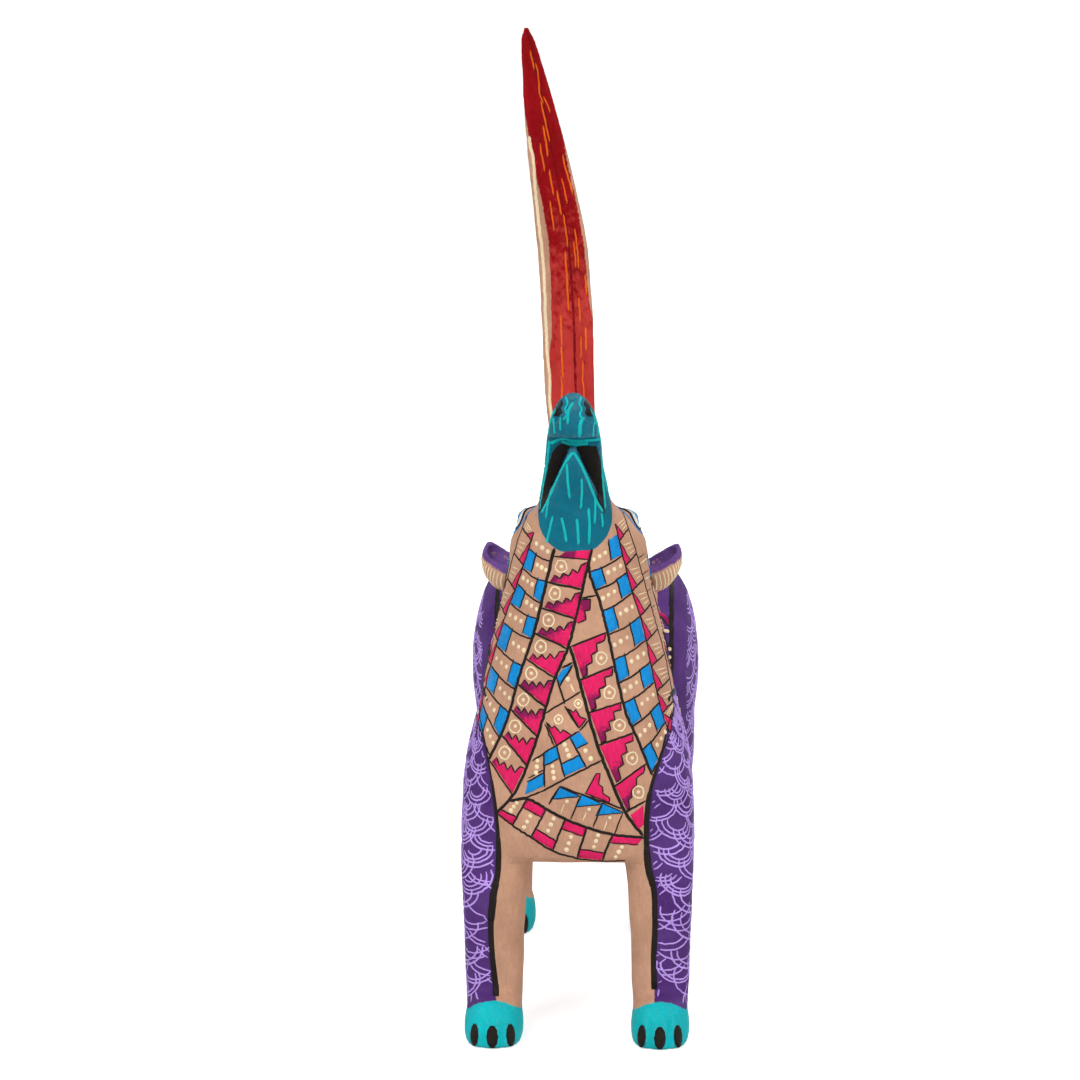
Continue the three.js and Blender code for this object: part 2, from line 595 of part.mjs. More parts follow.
const sides = { left: (solid) => solid, right: mirrored };
const legs = { front: [frontLeg(), FRONT_DOWELS], hind: [hindLeg(), HIND_DOWELS] };
for (const [side, turn] of Object.entries(sides)) {
  for (const [end, [leg, dowels]] of Object.entries(legs)) {
    place(`${end}_leg_${side}`, geometryOf(turn(leg)), purplePaint);
    dowels.forEach((centre, i) => {
      const dowel = dowelBar(centre, DOWEL_DIAMETER / 2, 0, DOWEL_CHAMFER);
      place(`${end}_dowel_${side}_${i + 1}`, geometryOf(turn(dowel)), bareCopal);
    });
  }
  place(`ear_${side}`, earGeometry(EARS[side]), tanPaint);
}
place('tail', geometryOf(tail()), redPaint);

// The origin goes under the middle of the figure, at the soles.
const extent = new THREE.Box3().setFromObject(figure);
figure.position.set(-(extent.min.x + extent.max.x) / 2, -(extent.min.y + extent.max.y) / 2, -extent.min.z);

export default figure;
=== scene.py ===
"""Looks of a howling coyote alebrije: sculpted copal skins, hand-brushed paint and a plain studio."""

import json
import logging
import math
import random
from dataclasses import dataclass, field
from enum import Enum
from functools import cache
from typing import Callable, ClassVar, Iterable, Optional, Sequence

import bmesh
import bpy
import numpy as np
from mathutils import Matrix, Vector, noise
from mathutils.bvhtree import BVHTree
from mathutils.geometry import delaunay_2d_cdt


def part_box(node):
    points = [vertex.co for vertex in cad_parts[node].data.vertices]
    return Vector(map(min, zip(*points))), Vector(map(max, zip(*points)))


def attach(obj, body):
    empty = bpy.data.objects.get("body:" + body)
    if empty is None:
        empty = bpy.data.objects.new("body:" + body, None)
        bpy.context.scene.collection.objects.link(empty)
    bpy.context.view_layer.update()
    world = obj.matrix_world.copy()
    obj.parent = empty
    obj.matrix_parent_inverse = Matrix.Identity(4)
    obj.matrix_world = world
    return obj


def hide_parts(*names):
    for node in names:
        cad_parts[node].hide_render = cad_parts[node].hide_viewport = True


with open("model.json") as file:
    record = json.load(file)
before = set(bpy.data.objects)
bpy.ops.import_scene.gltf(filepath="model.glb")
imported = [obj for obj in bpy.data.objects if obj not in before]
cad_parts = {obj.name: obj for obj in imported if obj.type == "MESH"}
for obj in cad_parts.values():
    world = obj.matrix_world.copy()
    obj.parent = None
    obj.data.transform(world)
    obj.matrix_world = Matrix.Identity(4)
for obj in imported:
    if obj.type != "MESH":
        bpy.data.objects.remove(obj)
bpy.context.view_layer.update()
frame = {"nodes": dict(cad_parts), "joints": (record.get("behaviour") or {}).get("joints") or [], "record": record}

LOG = logging.getLogger("coyote")

MM = 0.001
FIGURE = "figure"
TAIL_BODY = "tail_plug"
LEGS = ("front_leg_left", "front_leg_right", "hind_leg_left", "hind_leg_right")
DOWELS = tuple(name for name in frame["nodes"] if "_dowel_" in name)
SIDES = {"left": 1.0, "right": -1.0}

Point2 = tuple[float, float]
Colour = tuple[float, float, float]


def middle(node: str) -> Vector:
    """Return the middle of a CAD node's box, in metres."""
    low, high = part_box(node)
    return (low + high) / 2


def sole(name: str) -> Vector:
    """Return the place of one of the record's sole mounts, in metres."""
    return next(Vector(m["pos_m"]) for m in frame["record"]["mounts"] if m["name"] == name)


# Driving places, read from the frame.
FRONT_SOLE = sole("front_sole_left")
HIND_SOLE = sole("hind_sole_left")
LAP_FACE = middle("front_dowel_left_1").x + 1.5 * MM
HAUNCH = Vector((LAP_FACE, middle("hind_dowel_left_1").y + 8.5 * MM, middle("hind_dowel_left_1").z))
HAUNCH_RADIUS = (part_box("hind_leg_left")[1].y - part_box("hind_leg_left")[0].y) / 2
SHOULDER_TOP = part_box("front_leg_left")[1].z
SHOULDER_SPRING = middle("front_dowel_left_1").z + 1 * MM
SHOULDER_Y = middle("front_dowel_left_1").y + 8.5 * MM
SHOULDER_REACH = 21 * MM
CHEST_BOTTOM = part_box("body")[0].z
GROIN = CHEST_BOTTOM + 4 * MM
# The front is drawn on one upright plane, and its paint stays ahead of the haunches.
CHEST_PLANE = -81.6 * MM
CHEST_BACK = -22 * MM


class Coat(Enum):
    """Names of the record's paint slots."""

    TAN = "tan_paint"
    PURPLE = "purple_paint"
    RED = "red_paint"
    BLACK = "black_paint"
    CREAM = "cream_paint"
    PINK = "pink_paint"
    BLUE = "blue_paint"
    TEAL = "teal_paint"
    LILAC = "lilac_paint"
    ORANGE = "orange_paint"


# ---------------------------------------------------------------- shader effects


class Wiring:
    """Short hand for adding and joining shader nodes in one tree."""

    def __init__(self, tree: bpy.types.NodeTree) -> None:
        """Keep the tree that nodes are added to."""
        self.tree = tree

    def add(self, kind: str, **settings: object) -> bpy.types.Node:
        """Add a node.

        Args:
            kind: Blender's node type.
            settings: Attributes to set on the node.

        Returns:
            The new node.
        """
        node = self.tree.nodes.new(kind)
        for name, value in settings.items():
            setattr(node, name, value)
        return node

    def join(self, source: bpy.types.NodeSocket, target: bpy.types.NodeSocket) -> None:
        """Link one socket to another."""
        self.tree.links.new(source, target)

    def maths(self, operation: str, a: object, b: object = 0.0, clamp: bool = False) -> bpy.types.NodeSocket:
        """Add a Math node whose operands are sockets or numbers.

        Args:
            operation: Name of the operation.
            a: First operand.
            b: Second operand.
            clamp: Whether the result is kept between 0 and 1.

        Returns:
            The result's socket.
        """
        node = self.add("ShaderNodeMath", operation=operation, use_clamp=clamp)
        for socket, value in zip(node.inputs, (a, b)):
            if isinstance(value, bpy.types.NodeSocket):
                self.join(value, socket)
            else:
                socket.default_value = value
        return node.outputs[0]

    def mix(self, factor: object, a: object, b: object, blend: str = "MIX") -> bpy.types.NodeSocket:
        """Mix two colours given as sockets or values and return the mixed colour's socket."""
        node = self.add("ShaderNodeMix", data_type="RGBA", blend_type=blend)
        for socket, value in ((node.inputs[0], factor), (node.inputs[6], a), (node.inputs[7], b)):
            if isinstance(value, bpy.types.NodeSocket):
                self.join(value, socket)
            else:
                socket.default_value = (*value, 1.0) if isinstance(value, tuple) else value
        return node.outputs[2]

    def noise(self, vector: bpy.types.NodeSocket, scale: float, detail: float = 3.0,
              roughness: float = 0.55) -> bpy.types.NodeSocket:
        """Add a noise texture and return its value's socket."""
        node = self.add("ShaderNodeTexNoise")
        node.inputs["Scale"].default_value = scale
        node.inputs["Detail"].default_value = detail
        node.inputs["Roughness"].default_value = roughness
        self.join(vector, node.inputs["Vector"])
        return node.outputs[0]

    def stretched(self, vector: bpy.types.NodeSocket, scale: tuple[float, float, float],
                  turn: float = 0.0) -> bpy.types.NodeSocket:
        """Scale and turn texture coordinates and return the new vector's socket."""
        node = self.add("ShaderNodeMapping")
        node.inputs["Scale"].default_value = scale
        node.inputs["Rotation"].default_value = (0.0, turn, turn / 2)
        self.join(vector, node.inputs["Vector"])
        return node.outputs[0]

    def attribute(self, name: str) -> bpy.types.NodeSocket:
        """Return the value socket of a mesh attribute."""
        return self.add("ShaderNodeAttribute", attribute_name=name).outputs["Fac"]

    def ramp(self, value: bpy.types.NodeSocket, low: float, high: float) -> bpy.types.NodeSocket:
        """Map a value from low..high to 0..1, clamped, and return its socket."""
        node = self.add("ShaderNodeMapRange", clamp=True)
        node.inputs["From Min"].default_value = low
        node.inputs["From Max"].default_value = high
        self.join(value, node.inputs["Value"])
        return node.outputs[0]

    def bump(self, height: bpy.types.NodeSocket, strength: float, distance: float) -> bpy.types.Node:
        """Add a Bump node over a height, with its greatest depth in metres, and return the node."""
        node = self.add("ShaderNodeBump")
        node.inputs["Strength"].default_value = strength
        node.inputs["Distance"].default_value = distance
        self.join(height, node.inputs["Height"])
        return node


class Effects:
    """Node groups that several paints share, each built once."""

    @classmethod
    def _group(cls, name: str, inputs: Sequence[tuple[str, str, object]],
               outputs: Sequence[tuple[str, str]]) -> tuple[bpy.types.NodeTree, Wiring, dict, dict]:
        """Make an empty group with named sockets.

        Args:
            name: Name of the group.
            inputs: Name, socket type and default value of each input.
            outputs: Name and socket type of each output.

        Returns:
            The group, its wiring, and the sockets that its inputs and outputs are reached by.
        """
        tree = bpy.data.node_groups.new(name, "ShaderNodeTree")
        for label, kind, value in inputs:
            socket = tree.interface.new_socket(label, in_out="INPUT", socket_type=kind)
            socket.default_value = value
        for label, kind in outputs:
            tree.interface.new_socket(label, in_out="OUTPUT", socket_type=kind)
        wiring = Wiring(tree)
        given = wiring.add("NodeGroupInput").outputs
        result = wiring.add("NodeGroupOutput").inputs
        return tree, wiring, given, result

    @classmethod
    @cache
    def brushed(cls) -> bpy.types.NodeTree:
        """Return the group that gives a colour brush drag, thick and thin patches and fine bumps."""
        tree, w, given, result = cls._group(
            "hand_brushed",
            [("Colour", "NodeSocketColor", (1.0, 1.0, 1.0, 1.0)), ("Variation", "NodeSocketFloat", 0.2),
             ("Drag", "NodeSocketFloat", 0.3)],
            [("Colour", "NodeSocketColor"), ("Roughness", "NodeSocketFloat"), ("Height", "NodeSocketFloat")])
        place = w.add("ShaderNodeTexCoord").outputs["Object"]
        drag = w.noise(w.stretched(place, (1.0, 1.0, 0.16), 0.35), 1500.0, 4.0, 0.62)
        patch = w.noise(place, 110.0, 3.0)
        fleck = w.noise(place, 2600.0, 2.0)
        streak = w.ramp(drag, 0.32, 0.68)
        cloud = w.ramp(patch, 0.3, 0.7)
        tone = w.maths("ADD", w.maths("MULTIPLY", streak, given["Drag"]),
                       w.maths("MULTIPLY", cloud, given["Variation"]))
        darker = w.mix(tone, given["Colour"], (0.0, 0.0, 0.0))
        w.join(darker, result["Colour"])
        w.join(w.maths("ADD", w.maths("MULTIPLY", cloud, 0.16), w.maths("MULTIPLY", streak, 0.10)),
               result["Roughness"])
        w.join(w.maths("ADD", w.maths("MULTIPLY", drag, 0.8), w.maths("MULTIPLY", fleck, 0.25)),
               result["Height"])
        return tree

    @classmethod
    @cache
    def wood_print(cls) -> bpy.types.NodeTree:
        """Return the group that lets faint copal grain and knife marks show through the paint."""
        tree, w, given, result = cls._group(
            "wood_print", [("Depth", "NodeSocketFloat", 1.0)],
            [("Grain", "NodeSocketFloat"), ("Height", "NodeSocketFloat")])
        place = w.add("ShaderNodeTexCoord").outputs["Object"]
        fibres = w.noise(w.stretched(place, (1.0, 0.08, 1.0)), 700.0, 5.0, 0.7)
        marks = w.add("ShaderNodeTexVoronoi", feature="SMOOTH_F1")
        marks.inputs["Scale"].default_value = 170.0
        w.join(w.stretched(place, (1.0, 0.6, 1.0)), marks.inputs["Vector"])
        grain = w.maths("MULTIPLY", w.ramp(fibres, 0.4, 0.75), given["Depth"])
        w.join(grain, result["Grain"])
        facets = w.maths("MULTIPLY", marks.outputs["Distance"], 0.5)
        w.join(w.maths("ADD", facets, w.maths("MULTIPLY", fibres, 0.5)), result["Height"])
        return tree

    @classmethod
    @cache
    def rubbed(cls) -> bpy.types.NodeTree:
        """Return the group that rubs paint thin where a mesh's crest attribute is high."""
        tree, w, given, result = cls._group(
            "rubbed_edges", [("Amount", "NodeSocketFloat", 0.3)], [("Mask", "NodeSocketFloat")])
        place = w.add("ShaderNodeTexCoord").outputs["Object"]
        broken = w.ramp(w.noise(place, 900.0, 4.0, 0.7), 0.42, 0.62)
        crest = w.ramp(w.attribute("crest"), 0.25, 1.0)
        w.join(w.maths("MULTIPLY", w.maths("MULTIPLY", broken, crest), given["Amount"], clamp=True),
               result["Mask"])
        return tree


def placed_group(w: Wiring, tree: bpy.types.NodeTree, **values: object) -> bpy.types.Node:
    """Place a node group in a material with its own values and return its node."""
    node = w.add("ShaderNodeGroup")
    node.node_tree = tree
    for label, value in values.items():
        socket = node.inputs[label]
        if isinstance(value, bpy.types.NodeSocket):
            w.join(value, socket)
        else:
            socket.default_value = (*value, 1.0) if isinstance(value, tuple) else value
    return node


# ---------------------------------------------------------------- finishes


@dataclass(frozen=True)
class Brushwork:
    """One brushed colour of raised lines, dots and fills.

    The mesh attribute tone leads from the deep colour to the bright one.
    """

    name: str
    deep: Colour
    bright: Colour
    roughness: float = 0.38
    variation: float = 0.16
    drag: float = 0.22
    SHINE: ClassVar[float] = 0.16

    def material(self) -> bpy.types.Material:
        """Build the material, or return it when it has been built already."""
        if self.name in bpy.data.materials:
            return bpy.data.materials[self.name]
        made = bpy.data.materials.new(self.name)
        made.use_nodes = True
        w = Wiring(made.node_tree)
        shader = made.node_tree.nodes["Principled BSDF"]
        place = w.add("ShaderNodeTexCoord").outputs["Object"]
        ragged = w.maths("MULTIPLY", w.maths("SUBTRACT", w.noise(place, 1100.0, 4.0), 0.5), 0.9)
        tone = w.ramp(w.maths("ADD", w.attribute("tone"), ragged), 0.36, 0.64)
        colour = w.mix(tone, self.deep, self.bright)
        brushed = placed_group(w, Effects.brushed(), Colour=colour, Variation=self.variation, Drag=self.drag)
        w.join(brushed.outputs["Colour"], shader.inputs["Base Color"])
        w.join(w.maths("ADD", brushed.outputs["Roughness"], self.roughness), shader.inputs["Roughness"])
        bump = w.bump(brushed.outputs["Height"], 0.3, 0.12 * MM)
        w.join(bump.outputs["Normal"], shader.inputs["Normal"])
        shader.inputs["Specular IOR Level"].default_value = self.SHINE
        return made


@dataclass(frozen=True)
class Zone:
    """A painted area of a skin, where the mesh attribute of that name is above zero."""

    attribute: str
    colour: Colour
    shade: Colour


@dataclass(frozen=True)
class GroundCoat:
    """The ground colours of a carved skin, laid zone over zone on bare wood."""

    name: str
    colour: Colour
    shade: Colour
    zones: tuple[Zone, ...] = ()
    roughness: float = 0.42
    rub: float = 0.06
    wood: Colour = (0.78, 0.62, 0.42)
    SHINE: ClassVar[float] = 0.05
    GRAIN_BROWN: ClassVar[Colour] = (0.12, 0.07, 0.04)

    def material(self) -> bpy.types.Material:
        """Build the material."""
        made = bpy.data.materials.new(self.name)
        made.use_nodes = True
        w = Wiring(made.node_tree)
        shader = made.node_tree.nodes["Principled BSDF"]
        place = w.add("ShaderNodeTexCoord").outputs["Object"]
        cloud = w.ramp(w.noise(place, 60.0, 4.0), 0.35, 0.68)
        colour = w.mix(cloud, self.colour, self.shade)
        ragged = w.maths("MULTIPLY", w.maths("SUBTRACT", w.noise(place, 420.0, 3.0), 0.5), 0.0009)
        for zone in self.zones:
            edge = w.ramp(w.maths("ADD", w.attribute(zone.attribute), ragged), -0.00012, 0.00012)
            colour = w.mix(edge, colour, w.mix(cloud, zone.colour, zone.shade))
        brushed = placed_group(w, Effects.brushed(), Colour=colour, Variation=0.13, Drag=0.12)
        rubbed = placed_group(w, Effects.rubbed(), Amount=self.rub)
        wood = placed_group(w, Effects.wood_print(), Depth=0.14)
        aged = w.mix(wood.outputs["Grain"], brushed.outputs["Colour"], self.GRAIN_BROWN)
        w.join(w.mix(rubbed.outputs["Mask"], aged, self.wood), shader.inputs["Base Color"])
        dull = w.maths("ADD", brushed.outputs["Roughness"], w.maths("MULTIPLY", rubbed.outputs["Mask"], 0.25))
        w.join(w.maths("ADD", dull, self.roughness), shader.inputs["Roughness"])
        coarse = w.bump(wood.outputs["Height"], 0.5, 0.5 * MM)
        fine = w.bump(brushed.outputs["Height"], 0.35, 0.15 * MM)
        w.join(coarse.outputs["Normal"], fine.inputs["Normal"])
        w.join(fine.outputs["Normal"], shader.inputs["Normal"])
        shader.inputs["Specular IOR Level"].default_value = self.SHINE
        return made


TAN = (0.63, 0.355, 0.235)
TAN_SHADE = (0.55, 0.30, 0.19)
PURPLE = (0.078, 0.024, 0.170)
PURPLE_SHADE = (0.105, 0.042, 0.215)
TEAL = (0.001, 0.54, 0.59)
TEAL_SHADE = (0.001, 0.46, 0.51)
MUZZLE_TEAL = (0.001, 0.175, 0.265)
MUZZLE_SHADE = (0.001, 0.135, 0.205)

LINE_BLACK = Brushwork("line_black", (0.008, 0.006, 0.005), (0.014, 0.010, 0.008), 0.45)
DOT_CREAM = Brushwork("dot_cream", (0.72, 0.52, 0.27), (0.90, 0.74, 0.48), 0.4, 0.10, 0.12)
FRET_PINK = Brushwork("fret_pink", (0.27, 0.004, 0.09), (0.82, 0.012, 0.13), 0.36)
BLOCK_BLUE = Brushwork("block_blue", (0.002, 0.16, 0.36), (0.001, 0.29, 0.74), 0.36)
STROKE_TEAL = Brushwork("stroke_teal", (0.001, 0.44, 0.47), (0.002, 0.56, 0.57), 0.4)
STROKE_LILAC = Brushwork("stroke_lilac", (0.46, 0.26, 0.78), (0.58, 0.37, 0.92), 0.4)
STROKE_ORANGE = Brushwork("stroke_orange", (0.80, 0.08, 0.005), (0.95, 0.17, 0.01), 0.4)
EYE_WHITE = Brushwork("eye_white", (0.80, 0.76, 0.68), (0.88, 0.86, 0.80), 0.25)


# ---------------------------------------------------------------- carved skins


def coordinates(mesh: bpy.types.Mesh, kind: str = "co") -> np.ndarray:
    """Return a mesh's vertex places, or another vector of its vertices, as an N by 3 array."""
    found = np.empty(len(mesh.vertices) * 3)
    mesh.vertices.foreach_get(kind, found)
    return found.reshape(-1, 3)


def normals_of(mesh: bpy.types.Mesh) -> np.ndarray:
    """Return a mesh's vertex normals as an N by 3 array."""
    return coordinates(mesh, "normal")


def store(mesh: bpy.types.Mesh, places: np.ndarray) -> None:
    """Write vertex places back to a mesh."""
    mesh.vertices.foreach_set("co", places.ravel())
    mesh.update()


def edge_pairs(mesh: bpy.types.Mesh) -> np.ndarray:
    """Return a mesh's edges as an M by 2 array of vertex numbers."""
    found = np.empty(len(mesh.edges) * 2, dtype=np.int64)
    mesh.edges.foreach_get("vertices", found)
    return found.reshape(-1, 2)


def neighbour_mean(values: np.ndarray, pairs: np.ndarray) -> np.ndarray:
    """Return the mean of each vertex's neighbours, column by column."""
    count = np.bincount(pairs.ravel(), minlength=len(values)).clip(1)
    columns = []
    for column in values.T:
        ahead = np.bincount(pairs[:, 0], column[pairs[:, 1]], len(values))
        behind = np.bincount(pairs[:, 1], column[pairs[:, 0]], len(values))
        columns.append((ahead + behind) / count)
    return np.array(columns).T


def relaxed(mesh: bpy.types.Mesh, rounds: int, strength: np.ndarray) -> None:
    """Smooth a mesh in place, each vertex as far as its own strength lets it.

    Args:
        mesh: The mesh to smooth.
        rounds: How many times it is smoothed.
        strength: From 0, held still, to 1, for each vertex.
    """
    places = coordinates(mesh)
    pairs = edge_pairs(mesh)
    for _ in range(rounds):
        places += 0.5 * strength[:, None] * (neighbour_mean(places, pairs) - places)
    store(mesh, places)


def write_attribute(mesh: bpy.types.Mesh, name: str, values: np.ndarray) -> None:
    """Store one number for each vertex under a name that materials read."""
    layer = mesh.attributes.get(name) or mesh.attributes.new(name, "FLOAT", "POINT")
    layer.data.foreach_set("value", np.asarray(values, dtype=np.float32))


def crest_attribute(mesh: bpy.types.Mesh) -> None:
    """Store how sharply each vertex stands out from its surroundings, 1 at a sharp edge."""
    places = coordinates(mesh)
    pairs = edge_pairs(mesh)
    mean = places
    for _ in range(4):
        mean = neighbour_mean(mean, pairs)
    out = np.einsum("ij,ij->i", places - mean, normals_of(mesh))
    write_attribute(mesh, "crest", np.clip(out / (0.25 * MM), 0, 1))


def smooth_step(values: np.ndarray, low: float, high: float) -> np.ndarray:
    """Return a smooth 0 to 1 rise of the values between two limits."""
    t = np.clip((values - low) / (high - low), 0, 1)
    return t * t * (3 - 2 * t)


def new_object(name: str, mesh: bpy.types.Mesh) -> bpy.types.Object:
    """Link a mesh to the scene under a name."""
    made = bpy.data.objects.new(name, mesh)
    bpy.context.scene.collection.objects.link(made)
    return made


def applied(piece: bpy.types.Object) -> bpy.types.Object:
    """Apply all of an object's modifiers to its mesh."""
    graph = bpy.context.evaluated_depsgraph_get()
    result = bpy.data.meshes.new_from_object(piece.evaluated_get(graph))
    piece.modifiers.clear()
    piece.data = result
    return piece


def swollen_copy(node: str, amount: float) -> bmesh.types.BMesh:
    """Return a copy of a CAD node's mesh, pushed outwards by an amount."""
    form = bmesh.new()
    form.from_mesh(frame["nodes"][node].data)
    bmesh.ops.remove_doubles(form, verts=form.verts, dist=0.002 * MM)
    form.normal_update()
    shifts = [vertex.normal * amount for vertex in form.verts]
    for vertex, shift in zip(form.verts, shifts):
        vertex.co += shift
    return form


def shade_smooth(mesh: bpy.types.Mesh) -> None:
    """Shade every face of a mesh smooth."""
    mesh.polygons.foreach_set("use_smooth", np.ones(len(mesh.polygons), dtype=bool))
    mesh.update()


@dataclass
class Dab:
    """A round swelling, or a hollow where its height is negative, worked into a skin."""

    centre: Vector
    radius: Vector
    height: float

    def lift(self, places: np.ndarray) -> np.ndarray:
        """Return how far each vertex moves along its normal."""
        offset = (places - np.array(self.centre)) / np.array(self.radius)
        distance = np.sqrt((offset ** 2).sum(axis=1))
        return self.height * smooth_step(1 - distance, 0.0, 1.0)


@dataclass
class CarvedSkin:
    """Remeshed, rounded and worked copy of one or more CAD nodes."""

    name: str
    nodes: tuple[str, ...]
    plugs: tuple[str, ...] = ()
    voxel: float = 0.9 * MM
    swell: float = 0.3 * MM
    rounds: int = 8
    plug_swell: float = 0.9 * MM
    facet_height: float = 0.10 * MM
    held: Optional[Callable[[np.ndarray], np.ndarray]] = None
    dabs: list[Dab] = field(default_factory=list)

    def build(self) -> bpy.types.Object:
        """Fuse, remesh, smooth and work the copy.

        Returns:
            The new object, not yet riding on a body.
        """
        joined = bpy.data.meshes.new(self.name)
        form = bmesh.new()
        for node in self.nodes + self.plugs:
            grown = swollen_copy(node, self.swell if node in self.nodes else self.plug_swell)
            loose = bpy.data.meshes.new(node + "_loose")
            grown.to_mesh(loose)
            grown.free()
            form.from_mesh(loose)
            bpy.data.meshes.remove(loose)
        form.to_mesh(joined)
        form.free()
        piece = new_object(self.name, joined)
        remesh = piece.modifiers.new("voxels", "REMESH")
        remesh.mode = "VOXEL"
        remesh.voxel_size = self.voxel
        applied(piece)
        self._keep_largest(piece.data)
        self._shrink_back(piece.data)
        places = coordinates(piece.data)
        strength = self.held(places) if self.held else np.ones(len(places))
        relaxed(piece.data, self.rounds, strength)
        self._work(piece.data)
        shade_smooth(piece.data)
        return piece

    def _keep_largest(self, mesh: bpy.types.Mesh) -> None:
        """Delete all but the outer shell, such as the closed-in dowel holes."""
        pairs = edge_pairs(mesh)
        label = np.arange(len(mesh.vertices))
        while True:
            low = np.minimum(label[pairs[:, 0]], label[pairs[:, 1]])
            fresh = label.copy()
            np.minimum.at(fresh, pairs[:, 0], low)
            np.minimum.at(fresh, pairs[:, 1], low)
            fresh = fresh[fresh]
            if (fresh == label).all():
                break
            label = fresh
        names, sizes = np.unique(label, return_counts=True)
        kept = names[sizes.argmax()]
        form = bmesh.new()
        form.from_mesh(mesh)
        form.verts.ensure_lookup_table()
        stray = [form.verts[i] for i in np.nonzero(label != kept)[0]]
        bmesh.ops.delete(form, geom=stray, context="VERTS")
        form.to_mesh(mesh)
        form.free()

    def _shrink_back(self, mesh: bpy.types.Mesh) -> None:
        """Take back the swelling that closed the glue gaps."""
        store(mesh, coordinates(mesh) - self.swell * normals_of(mesh))

    def _work(self, mesh: bpy.types.Mesh) -> None:
        """Work the dabs and soft knife facets into the surface."""
        places = coordinates(mesh)
        lift = sum((dab.lift(places) for dab in self.dabs), np.zeros(len(places)))
        cuts = (noise.cell(Vector(p) / (7 * MM)) + noise.noise(Vector(p) / (9 * MM)) for p in places)
        soft = np.fromiter(cuts, float)[:, None]
        pairs = edge_pairs(mesh)
        for _ in range(6):
            soft = neighbour_mean(soft, pairs)
        soft = np.ascontiguousarray(soft[:, 0])
        facets = self.facet_height * (soft - soft.mean()) * smooth_step(places[:, 2], 0.5 * MM, 3 * MM)
        moved = places + normals_of(mesh) * (lift + facets)[:, None]
        moved[:, 2] = np.maximum(moved[:, 2], 0.0)
        store(mesh, moved)


